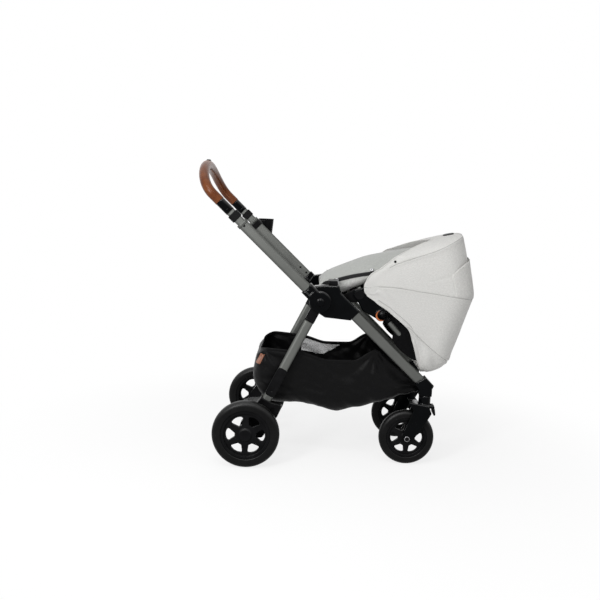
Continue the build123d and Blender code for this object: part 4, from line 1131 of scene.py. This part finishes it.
def zip_band(sign, side):
    """A dark zip tape, bowed out from the rail."""
    rows, uvs = [], []
    section = ZIP_SECTION + [ZIP_GROOVE] + [(-height, out) for height, out in reversed(ZIP_SECTION)]
    xs = [ZIP_LINE[0][0] + ZIP_STEP * k for k in range(ZIP_STEPS + 1)]
    line = [Vector((x, 0, interpolate(x, ZIP_LINE))) for x in xs]
    for i, (p, _, _, lift) in enumerate(path_frames(line, UP)):
        full = smooth_step(i / 6) * smooth_step((ZIP_STEPS - i) / 6)
        places = [(p + lift * height * (0.5 + 0.5 * full), out) for height, out in section]
        rows.append([at(q.x, sign * (SEAT_HALF_WIDTH + out), q.z) for q, out in places])
        uvs.append([(i * 2 * MM, k * 2 * MM) for k in range(len(section))])
    band = fill_ends(grid_object(f"zip_{side}", rows, TAPE, uvs, True))
    place_piece(face_out(band), "seat")


def zip_teeth(sign, side):
    """Two rows of teeth along the middle of the tape."""
    lines = []
    for height in TEETH_HEIGHTS:
        y = sign * (SEAT_HALF_WIDTH + TEETH_OUT)
        points = [at(x, y, interpolate(x, ZIP_LINE) + height) for x in range(*TEETH_SPAN, 4)]
        lines.append((points, [Vector((0, sign, 0))] * len(points)))
    teeth = stitch_object(f"zip_teeth_{side}", lines, MATERIALS["black_plastic"], 2.4, 1.7, 0.55)
    place_piece(teeth, "seat")


def zip_pull(sign, side):
    """A bright slider with a flat tab hanging from it."""
    x, z = ZIP_PULL_X, interpolate(ZIP_PULL_X, ZIP_LINE)
    y = sign * (SEAT_HALF_WIDTH + 2.4)
    dome_object(f"zip_slider_{side}", at(x, y, z + 1), (0, sign, 0), 6.0, 3.0, "seat", "steel", 0.3)
    points = [at(x + ahead, y + sign * out, z + rise) for ahead, out, rise in ZIP_TAB]
    tab = tube_object(f"zip_tab_{side}", resample(points, 3 * MM), 3.0, MATERIALS["steel"], 12, LEFT, 0.35)
    place_piece(tab, "seat")


def apron_snap(sign, side):
    place = at(APRON_SNAP[0], sign * (SEAT_HALF_WIDTH - 1.2), APRON_SNAP[1])
    dome_object(f"apron_snap_{side}", place, (0, sign, 0.35), 6.5, 2.6, "seat", "steel", 0.5)


for side_sign, side_name in SIDES:
    zip_band(side_sign, side_name)
    zip_teeth(side_sign, side_name)
    zip_pull(side_sign, side_name)
    apron_snap(side_sign, side_name)

# Backrest: a black pad in the bent tube, and side cloth from the tube to the canopy's lower edge

BACK_WAY = Vector((math.cos(BACK_DROP), 0, -math.sin(BACK_DROP)))
BACK_UP = Vector((math.sin(BACK_DROP), 0, math.cos(BACK_DROP)))
PAD_HALF_WIDTH = 146.0
PAD_START = -56.0
PAD_END = 219.0
PAD_MIDDLE = 7.0
PAD_HALF_HEIGHT = 11.0
PAD_ROOM = 4.0
PAD_RINGS = 40
PAD_SIDES = 96
PAD_SWELL = 7.0
PAD_VOXEL = 5.0
# Upper and lower edges of the side cloth: along the backrest, and up from its plane
SIDE_TOP = [
    (14.0, 15.0), (40.0, 22.0), (90.0, 34.0), (110.0, 46.0), (140.0, 58.0), (200.0, 64.0), (224.0, 60.0),
]
SIDE_LOW = [
    (14.0, 0.0), (60.0, 0.0), (78.0, -9.0), (98.0, -33.0), (130.0, -37.0), (200.0, -26.0), (224.0, -10.0),
]
# How far out the side cloth lies: behind the tube at its upper end, then over it
SIDE_OUT = [(14.0, 171.0), (84.0, 171.0), (112.0, 186.5), (224.0, 186.5)]
SIDE_ROWS = 70
SIDE_COLUMNS = 24


def back_place(s, y, n):
    """A place along the backrest from the release buttons, across it, and up from its plane."""
    p = Vector((RELEASE_BUTTON[0], 0, RELEASE_BUTTON[1])) + BACK_WAY * s + BACK_UP * n
    return at(p.x, y, p.z)


def make_back_pad():
    """A slab with rounded corners and edges, before it swells."""
    rings = []
    middle, half = (PAD_START + PAD_END) / 2, (PAD_END - PAD_START) / 2 - PAD_ROOM
    for i in range(PAD_RINGS + 1):
        rise = math.pi * (i / PAD_RINGS - 0.5)
        girth = max(0.001, math.cos(rise)) ** 0.25
        n = PAD_MIDDLE + PAD_HALF_HEIGHT * signed_power(math.sin(rise), 0.7)
        ring = []
        for a in turns(PAD_SIDES):
            s = middle + half * signed_power(math.cos(a), 0.42) * girth
            y = (PAD_HALF_WIDTH - PAD_ROOM) * signed_power(math.sin(a), 0.42) * girth
            ring.append(back_place(s, y, n))
        rings.append(ring)
    pad = ring_object("backrest_pad", rings, LINING)
    return soften(inflate(pad, PAD_SWELL, PAD_VOXEL, lambda co: 0.0))


back_pad = make_back_pad()
place_piece(back_pad, "backrest")
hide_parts("backrest_panel")


def back_side_cloth(sign, side):
    rows, uvs = [], []
    start, end = SIDE_OUT[0][0], SIDE_OUT[-1][0]
    for i in range(SIDE_ROWS + 1):
        s = start + (end - start) * i / SIDE_ROWS
        low, top = interpolate(s, SIDE_LOW), interpolate(s, SIDE_TOP)
        heights = [low + (top - low) * k / SIDE_COLUMNS for k in range(SIDE_COLUMNS + 1)]
        outs = [interpolate(s, SIDE_OUT) + 1.6 * ripple(s * 0.03, n * 0.03, 2.0) for n in heights]
        rows.append([back_place(s, sign * out, n) for out, n in zip(outs, heights)])
        uvs.append([(s * MM, n * MM) for n in heights])
    cloth = grid_object(f"backrest_side_{side}", rows, LINING, uvs)
    place_piece(thicken(cloth, 1.2, 0.0), "backrest")


for side_sign, side_name in SIDES:
    back_side_cloth(side_sign, side_name)

# Seat tub: a fabric trough with rounded lower corners, closed at the foot end

TUB_FLOOR = [
    (250.0, 664.0), (262.0, 651.5), (290.0, 648.5), (331.0, 648.5), (372.0, 665.0), (414.0, 683.0),
    (470.0, 704.0),
]
TUB_END = TUB_FLOOR[-1][0]
TUB_HALF = SEAT_HALF_WIDTH - 0.5
TUB_CORNER = 26.0
TUB_ROWS = 60
TUB_SIDE_ROWS = 10
TUB_CORNER_ROWS = 8
TUB_FLOOR_ROWS = 20
# Ahead of this the tub has sides only
FLOOR_END = 425.0


def tub_section(x):
    """The trough's section from its left edge to its right: across, and above the floor."""
    top, low = rail_height(x) - 0.9, interpolate(x, TUB_FLOOR)
    r = min(TUB_CORNER, (top - low) * 0.8)
    half = [(TUB_HALF, top + (low + r - top) * k / TUB_SIDE_ROWS) for k in range(TUB_SIDE_ROWS)]
    for k in range(TUB_CORNER_ROWS + 1):
        a = math.pi / 2 * k / TUB_CORNER_ROWS
        half.append((TUB_HALF - r + r * math.cos(a), low + r - r * math.sin(a)))
    half += [((TUB_HALF - r) * (1 - k / TUB_FLOOR_ROWS), low) for k in range(1, TUB_FLOOR_ROWS + 1)]
    return half + [(-y, z) for y, z in half[-2::-1]]


def make_tub():
    xs = [RAIL_START[0] + (TUB_END - RAIL_START[0]) * i / TUB_ROWS for i in range(TUB_ROWS + 1)]
    rows, uvs = [], []
    for x in xs:
        section = tub_section(x)
        row = []
        for y, z in section:
            bulge = math.copysign(1.2 * ripple(x * 0.03, z * 0.05, 5.0 + (y > 0)), y)
            row.append(at(x, y + (bulge if abs(y) > TUB_HALF - 1 else 0), z))
        rows.append(row)
        uvs.append([(d * MM, x * MM) for d in running_lengths(section)])
    count = len(rows[0])
    floor = range(TUB_SIDE_ROWS + 2, count - TUB_SIDE_ROWS - 3)

    def kept(face):
        return face[0] % count not in floor or xs[face[3] // count] <= FLOOR_END

    faces = [face for face in quads(len(rows), count, False) if kept(face)]
    faces.append(tuple(range(count)))
    return mesh_object("seat_liner", flatten(rows), faces, SIDE_CLOTH, flatten(uvs))


tub = make_tub()
thicken(face_out(tub), 3.0)
place_piece(tub, "seat")
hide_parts("seat_tub")

# Basket: a sagging fabric bag hung from the frame, open at the top

BASKET_RIM = [
    (14.0, 418.0), (30.0, 426.0), (60.0, 430.0), (200.0, 419.0), (296.0, 396.0), (388.0, 398.0),
    (470.0, 440.0), (520.0, 398.0), (590.0, 347.0), (654.0, 300.0),
]
BASKET_FLOOR = [
    (14.0, 262.0), (30.0, 240.0), (60.0, 222.0), (140.0, 214.0), (227.0, 212.0), (283.0, 201.0),
    (336.0, 194.0), (373.0, 199.0), (446.0, 217.0), (519.0, 236.0), (600.0, 262.0), (654.0, 284.0),
]
# Half the plan: ahead of the rear axle, and out from the middle
BASKET_PLAN = [
    (14.0, 128.0), (22.0, 152.0), (40.0, 172.0), (70.0, 183.0), (250.0, 184.0), (440.0, 183.0),
    (540.0, 158.0), (610.0, 138.5), (654.0, 137.0),
]
BASKET_REAR = BASKET_PLAN[0][0]
END_STEPS = 8
PLAN_STEP = 6.0
# How far the rear end stands ahead of its plan, by height
REAR_LEAN = [(205.0, 24.0), (262.0, 6.0), (317.0, -3.0), (351.0, -4.0), (390.0, 9.0), (426.0, 24.0)]
REAR_LENGTH = 90.0
# The floor is drawn together along a line between these places
SPINE = (90.0, 560.0)
BASKET_STEPS = 76
BASKET_DEPTH = 0.36
WALL_SHARE = 0.5
ROUND_SHARE = 0.68
BASKET_ROUND = 48.0
# Corners that the cloth hangs from: where its creases run to
HUNG_FROM = [(38.0, 424.0), (470.0, 438.0), (654.0, 298.0)]
NET_SPAN = (190.0, 392.0)
NET_SIDE = 120.0
# The rim's tape: out from the rim, and down from it
BINDING_SECTION = [(-1.2, 11.0), (1.5, 10.5), (1.9, 5.0), (1.8, 0.5), (0.2, -1.2), (-1.9, 0.5), (-2.0, 6.0)]


def basket_loop():
    """Plan outline from the rear middle round the right side to the front and back on the left."""
    (rear, rear_half), (front, front_half) = BASKET_PLAN[0], BASKET_PLAN[-1]
    right = [(rear, -rear_half * k / END_STEPS) for k in range(END_STEPS)] + [(x, -y) for x, y in BASKET_PLAN]
    right += [(front, -front_half * (1 - k / END_STEPS)) for k in range(1, END_STEPS + 1)]
    line = resample([Vector((x, y, 0)) for x, y in right], PLAN_STEP)
    for _ in range(5):
        inner = [(a + b * 2 + c) / 4 for a, b, c in zip(line, line[1:], line[2:])]
        line = line[:1] + inner + line[-1:]
    return line + [Vector((p.x, -p.y, 0)) for p in line[-2:0:-1]]


def nearest_spine(p):
    return Vector((min(max(p.x, SPINE[0]), SPINE[1]), 0, 0))


def basket_heights(x):
    """Heights of the rim and the floor, and the radius between the wall and the floor."""
    rim, low = interpolate(x, BASKET_RIM), interpolate(x, BASKET_FLOOR)
    return rim, low, min(BASKET_ROUND, (rim - low) * 0.45)


def basket_shape(p, v):
    """The plain bag: v runs from the rim over the lower edge to the floor's middle."""
    rim, low, radius = basket_heights(p.x)
    spine = nearest_spine(p)
    inward = (spine - p).normalized()
    if v <= WALL_SHARE:
        s = v / WALL_SHARE
        q = p - inward * 2.5 * math.sin(math.pi * s) ** 1.2
        return Vector((q.x, q.y, rim - (rim - low - radius) * s)), -inward
    if v <= ROUND_SHARE:
        a = (v - WALL_SHARE) / (ROUND_SHARE - WALL_SHARE) * math.pi / 2
        q = p + inward * radius * (1 - math.cos(a))
        out = (-inward * math.cos(a) - UP * math.sin(a)).normalized()
        return Vector((q.x, q.y, low + radius * (1 - math.sin(a)))), out
    s = (v - ROUND_SHARE) / (1 - ROUND_SHARE)
    q = (p + inward * radius).lerp(spine, s)
    return Vector((q.x, q.y, interpolate(q.x, BASKET_FLOOR) - 2.0 * math.sin(math.pi * s))), -UP


def fan_folds(q):
    """Pulled folds that fan out from the places the bag hangs from."""
    depth = 0.0
    for k, (x, z) in enumerate(HUNG_FROM):
        ahead, below = q.x - x, z - q.z
        away = math.hypot(ahead, below)
        turn = math.atan2(below, abs(ahead) + 1.0)
        fan = math.sin(turn * (9.0 + 2.5 * k) + 1.1 * k + 0.008 * away)
        depth += 4.2 * fan * math.exp(-away / (95.0 + 25.0 * k)) * smooth_step(away / 26)
    return depth


def basket_creases(q):
    """Fan folds, soft slack between them, crumples, and folds drawn along a slope."""
    soft = ripple(q.x * 0.011 + q.z * 0.017, q.z * 0.011 - q.x * 0.004, q.y * 0.004)
    small = ripple(q.x * 0.035 + q.z * 0.03, q.z * 0.022, 4.0 + q.y * 0.01)
    crumple = abs(ripple(q.x * 0.021, q.z * 0.03, 8.0 + q.y * 0.012))
    down, over = q.z * 0.91 + q.x * 0.42, q.x * 0.91 - q.z * 0.42
    drawn = ripple(over * 0.007, down * 0.03, 2.5 + q.y * 0.006)
    sharp = 1 - abs(ripple(over * 0.009, down * 0.024, 6.5 + q.y * 0.006)) * 2.2
    return 1.6 * fan_folds(q) + 4.0 * soft + 1.6 * small - 4.0 * crumple + 5.0 * drawn + 3.5 * sharp


def basket_point(p, v, lift=0.0):
    """A point of the bag below a point of its plan, lifted off the cloth by some millimetres."""
    q, out = basket_shape(p, v)
    free = smooth_step(v / 0.1) * (1.0 if v < ROUND_SHARE else 0.6)
    q = q + out * (basket_creases(q) * free + lift)
    rear = 1 - smooth_step((p.x - BASKET_REAR) / REAR_LENGTH)
    return at(q.x + interpolate(q.z, REAR_LEAN) * rear, q.y, q.z)


def basket_finish(i, j):
    """The far side has a net under its rim."""
    x, y, share = basket_plan[j].x, basket_plan[j].y, i / BASKET_STEPS
    deep = 0.2 * smooth_step((400 - x) / 150)
    return int(0.03 <= share < deep and NET_SPAN[0] < x < NET_SPAN[1] and y > NET_SIDE)


def make_basket():
    shares = [i / BASKET_STEPS for i in range(BASKET_STEPS + 1)]
    rows = [[basket_point(p, v) for p in basket_plan] for v in shares]
    uvs = [[(d * MM, v * BASKET_DEPTH) for d in running_lengths(basket_plan)] for v in shares]
    return grid_object("basket_bag", rows, [MATERIALS["basket_fabric"], NET], uvs, True, basket_finish)


basket_plan = basket_loop()
basket = make_basket()
thicken(face_out(merge_points(basket, 0.00005)), 1.2)
place_piece(basket, "front_frame")
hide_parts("basket")


def basket_binding():
    """A narrow tape folded over the basket's rim."""
    rows, uvs = [], []
    for j, p in enumerate(basket_plan):
        out = (p - nearest_spine(p)).normalized() * MM
        edge = basket_point(p, 0.0)
        rows.append([edge + out * offset - UP * (drop * MM) for offset, drop in BINDING_SECTION])
        uvs.append([(j * 6 * MM, k * 5 * MM) for k in range(len(BINDING_SECTION))])
    tape = grid_object("basket_binding", rows + rows[:1], MATERIALS["basket_fabric"], uvs + uvs[:1], True)
    return face_out(merge_points(tape, 0.00002))


binding = basket_binding()
place_piece(binding, "front_frame")

PATCH_SPAN = (25.0, 45.0)
PATCH_HEIGHTS = (367.0, 403.0)
PATCH_LEAN = 4.0
PATCH_COLUMNS = 12
PATCH_ROWS = 14
PATCH_OUT = Vector((-0.5, -0.85, 0))


def patch_point(x, z):
    """A point on the bag's rear right corner, just off the cloth."""
    side = [p for p in basket_plan if p.y < -100 and p.x < 120]
    a, b = next((a, b) for a, b in zip(side, side[1:]) if b.x > x)
    p = a.lerp(b, (x - a.x) / (b.x - a.x))
    rim, low, radius = basket_heights(p.x)
    return basket_point(p, WALL_SHARE * (rim - z) / (rim - low - radius), 2.2)


def basket_patch():
    """The bare leather patch sewn on the bag's rear corner."""
    rows, uvs = [], []
    low, high = PATCH_HEIGHTS
    step = (PATCH_SPAN[1] - PATCH_SPAN[0]) / PATCH_COLUMNS
    for i in range(PATCH_ROWS + 1):
        down = i / PATCH_ROWS
        start = PATCH_SPAN[0] - PATCH_LEAN * down
        z = high - (high - low) * down
        rows.append([patch_point(start + step * k, z) for k in range(PATCH_COLUMNS + 1)])
        uvs.append([(k * 3 * MM, i * 3 * MM) for k in range(PATCH_COLUMNS + 1)])
    patch = thicken(face_towards(grid_object("basket_patch", rows, PATCH, uvs), -LEFT), 2.0)
    place_piece(patch, "front_frame")
    seam = [rows[i][k] for i, k in border(1, PATCH_ROWS - 1, PATCH_COLUMNS - 1)]
    lines = [(seam, [PATCH_OUT] * len(seam))]
    stitches = stitch_object("basket_patch_stitches", lines, THREAD_BROWN, 3.2, 2.1, 0.4)
    place_piece(stitches, "front_frame")


basket_patch()

# Handle seam

GRIP_RADIUS = 18.5
# Distances along the arm from the fold pivot: the grip's end, its bend, and the bend's pull
GRIP_END = 518.0
BEND_START = 545.0
BEND_PULL = 607.0
HANDLE_TOP = Vector((-200.0, 0.0, 1106.0))
HANDLE_PULL = Vector((0.0, 136.4, 0.0))
HANDLE_HEART = Vector((-158.0, 0.0, 1000.0))
HANDLE_STEPS = 60
SEAM_TURN = Vector((0, -0.35, 0))


def on_arm(distance, y):
    """A place on the push arm's centre line, at a distance from the fold pivot."""
    back, rise = math.cos(ARM_RISE) * distance, math.sin(ARM_RISE) * distance
    return Vector((FOLD_PIVOT[0] - back, y, FOLD_PIVOT[1] + rise))


def handle_path():
    """The grip's centre line, from its right end over the top to its left end."""
    right = [on_arm(GRIP_END, -ARM_SPREAD)]
    a, b = on_arm(BEND_START, -ARM_SPREAD), on_arm(BEND_PULL, -ARM_SPREAD)
    c, d = HANDLE_TOP - HANDLE_PULL, HANDLE_TOP
    for k in range(HANDLE_STEPS + 1):
        t = k / HANDLE_STEPS
        right.append(a * (1 - t) ** 3 + b * (3 * t * (1 - t) ** 2) + c * (3 * t**2 * (1 - t)) + d * t**3)
    return over_crown(right, [Vector((p.x, -p.y, p.z)) for p in right])


def square_to(way, tangent):
    """The part of a direction that is square to a tangent."""
    return (way - tangent * way.dot(tangent)).normalized()


def handle_seam():
    """Saddle stitches where the leather closes, along the inside of the grip."""
    points, normals = [], []
    for p, tangent, _, _ in path_frames(resample(handle_path(), 6.0), UP):
        inner = square_to(square_to(HANDLE_HEART - p, tangent) + SEAM_TURN, tangent)
        points.append(at(*(p + inner * (GRIP_RADIUS + 0.2))))
        normals.append(inner)
    seam = stitch_object("handle_stitches", [(points, normals)], THREAD_BROWN, 5.4, 3.9, 0.6)
    place_piece(seam, "handle")


handle_seam()

# Small fittings: arm buttons and holes, release buttons and front axle caps

ARM_BUTTON = 386.0
ARM_HOLES = ((170.2, 704.9), (196.1, 683.2))
BEZEL_RADIUS = 17.7
BEZEL_SIDES = 48


def arm_fittings(sign, side):
    """A button outside each arm, and two holes inside it."""
    spot = at(*on_arm(ARM_BUTTON, sign * (ARM_SPREAD + ARM_HALF)))
    dome_object(f"arm_button_{side}", spot, (0, sign, 0), 4.2, 1.6, "push_arms", "black_plastic", 0.4)
    for k, (x, z) in enumerate(ARM_HOLES):
        hole = at(x, sign * (ARM_SPREAD - ARM_HALF), z)
        name = f"arm_hole_{side}_{k + 1}"
        dome_object(name, hole, (0, -sign, 0), 4.4, 0.5, "push_arms", "black_plastic", 0.5)


def release_knob(sign, side, lift=0.0):
    """The middle of a release button's outer face, lifted by some millimetres."""
    place = at(RELEASE_BUTTON[0], 0, RELEASE_BUTTON[1])
    place.y = outer_y(f"release_button_{side}", sign) + sign * lift * MM
    return place


def release_face(sign, side):
    """The release button's face, and the bezel round it."""
    name, body = f"release_face_{side}", f"release_button_{side}"
    dome_object(name, release_knob(sign, side), (0, sign, 0), 15.6, 1.2, body, "black_gloss", 0.9)
    x, z = RELEASE_BUTTON
    circle = []
    for a in turns(BEZEL_SIDES):
        p = at(x + BEZEL_RADIUS * math.cos(a), 0, z + BEZEL_RADIUS * math.sin(a))
        p.y = outer_y("release_rings", sign)
        circle.append(p)
    bezel = tube_object(f"release_bezel_{side}", circle, 1.3, MATERIALS["black_gloss"], 10, LEFT, closed=True)
    place_piece(bezel, "backrest")


def axle_cap(sign, side):
    cap = box_centre(f"front_axle_{side}")
    cap.y = outer_y(f"front_axle_{side}", sign)
    name, body = f"front_axle_cap_{side}", f"caster_{side}"
    dome_object(name, cap, (0, sign, 0), 8.5, 1.0, body, "black_plastic", 0.12)


def release_socket(sign, side):
    """The dark socket in the middle of the release button's face."""
    name, body = f"release_socket_{side}", f"release_button_{side}"
    dome_object(name, release_knob(sign, side, 0.3), (0, sign, 0), 5.5, 1.0, body, "black_plastic", 0.5)


for side_sign, side_name in SIDES:
    arm_fittings(side_sign, side_name)
    release_face(side_sign, side_name)
    axle_cap(side_sign, side_name)
    release_socket(side_sign, side_name)

# Camera, floor and light

CAMERA_PLACE = (206.0, -2757.0, 957.0)
CAMERA_YAW = math.radians(-0.612)
CAMERA_PITCH = math.radians(7.512)
CAMERA_ROLL = math.radians(2.421)
FOCAL_PIXELS = 698.7
FRAME_PIXELS = 600.0
SENSOR = 36.0


def make_camera():
    """A camera where the photograph was taken from."""
    data = bpy.data.cameras.new("camera")
    data.sensor_width = SENSOR
    data.lens = FOCAL_PIXELS / FRAME_PIXELS * SENSOR
    camera = bpy.data.objects.new("camera", data)
    bpy.context.scene.collection.objects.link(camera)
    level = Vector((math.sin(CAMERA_YAW), math.cos(CAMERA_YAW), 0))
    forward = level * math.cos(CAMERA_PITCH) - UP * math.sin(CAMERA_PITCH)
    right = Vector((math.cos(CAMERA_YAW), -math.sin(CAMERA_YAW), 0))
    up = right.cross(forward)
    rolled_right = right * math.cos(CAMERA_ROLL) + up * math.sin(CAMERA_ROLL)
    rolled_up = up * math.cos(CAMERA_ROLL) - right * math.sin(CAMERA_ROLL)
    turn = Matrix((rolled_right, rolled_up, -forward)).transposed()
    camera.matrix_world = Matrix.Translation(at(*CAMERA_PLACE)) @ turn.to_4x4()
    bpy.context.scene.camera = camera


make_camera()

WHITE = (1, 1, 1, 1)
ROOM_LIGHT = 0.56
FLOOR_HALF = 30.0
FLOOR_SHADE = 0.79
SHADE_START = 0.55
SHADE_END = 1.5


def make_floor():
    """A pale floor that keeps the object's shadow and runs into the white of the room further off."""
    corners = [(x * FLOOR_HALF, y * FLOOR_HALF, 0) for x, y in ((-1, -1), (1, -1), (1, 1), (-1, 1))]
    paper = Surface("floor_white", 0.9, specular=0.0)
    tree = paper.tree
    paper.colour(paper.noise(2.0), (0.84, 0.84, 0.84), (0.86, 0.86, 0.86))
    away = add_node(tree, "VectorMath", {0: paper.place}, operation="LENGTH").outputs["Value"]
    far = spread(tree, away, FLOOR_SHADE, 1.0, SHADE_START, SHADE_END, "SMOOTHSTEP")
    glow = add_node(tree, "Emission", {"Color": WHITE, "Strength": 1.0}).outputs["Emission"]
    share = maths(tree, "MULTIPLY", seen_directly(tree), far)
    paper.show(mix_shaders(tree, share, paper.shader.outputs["BSDF"], glow))
    mesh_object("floor", corners, [(0, 1, 2, 3)], paper.material)


make_floor()


def make_world():
    """A white room that lights the object less than it shows."""
    world = bpy.data.worlds.new("studio")
    bpy.context.scene.world = world
    world.use_nodes = True
    tree = world.node_tree
    tree.nodes.clear()
    room, white = (
        add_node(tree, "Background", {"Color": WHITE, "Strength": strength}).outputs["Background"]
        for strength in (ROOM_LIGHT, 1.0)
    )
    add_node(tree, "OutputWorld", {"Surface": mix_shaders(tree, seen_directly(tree), room, white)})


make_world()

# Lamps: place, target and size in metres, power in watts
LAMPS = {
    "overhead": ((-0.5, -0.4, 3.2), (0.05, 0, 0.4), (3.0, 2.2), 13.0),
    "key_left": ((-1.6, -2.5, 1.7), (0.0, 0, 0.55), (0.5, 0.7), 36.0),
    "key_right": ((1.3, -2.5, 1.9), (0.05, 0, 0.55), (0.5, 0.6), 3.0),
    "strip_top": ((-0.7, -1.7, 2.5), (0.0, 0, 0.6), (1.9, 0.12), 19.0),
    "spark_left": ((-1.3, -2.2, 1.9), (0.0, 0, 0.5), (0.16, 0.16), 6.0),
}


def area_light(name, place, target, size, power):
    data = bpy.data.lights.new(name, "AREA")
    data.shape = "RECTANGLE"
    data.size, data.size_y = size
    data.energy = power
    lamp = bpy.data.objects.new(name, data)
    bpy.context.scene.collection.objects.link(lamp)
    lamp.location = Vector(place)
    lamp.rotation_mode = "QUATERNION"
    lamp.rotation_quaternion = (Vector(target) - Vector(place)).to_track_quat("-Z", "Y")


for lamp_name, lamp_values in LAMPS.items():
    area_light(lamp_name, *lamp_values)

bpy.context.scene.view_settings.view_transform = "Standard"

# The canopy and its trim have their transforms applied to their meshes
for piece in [canopy] + canopy_trim + canopy_snaps:
    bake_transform(piece)
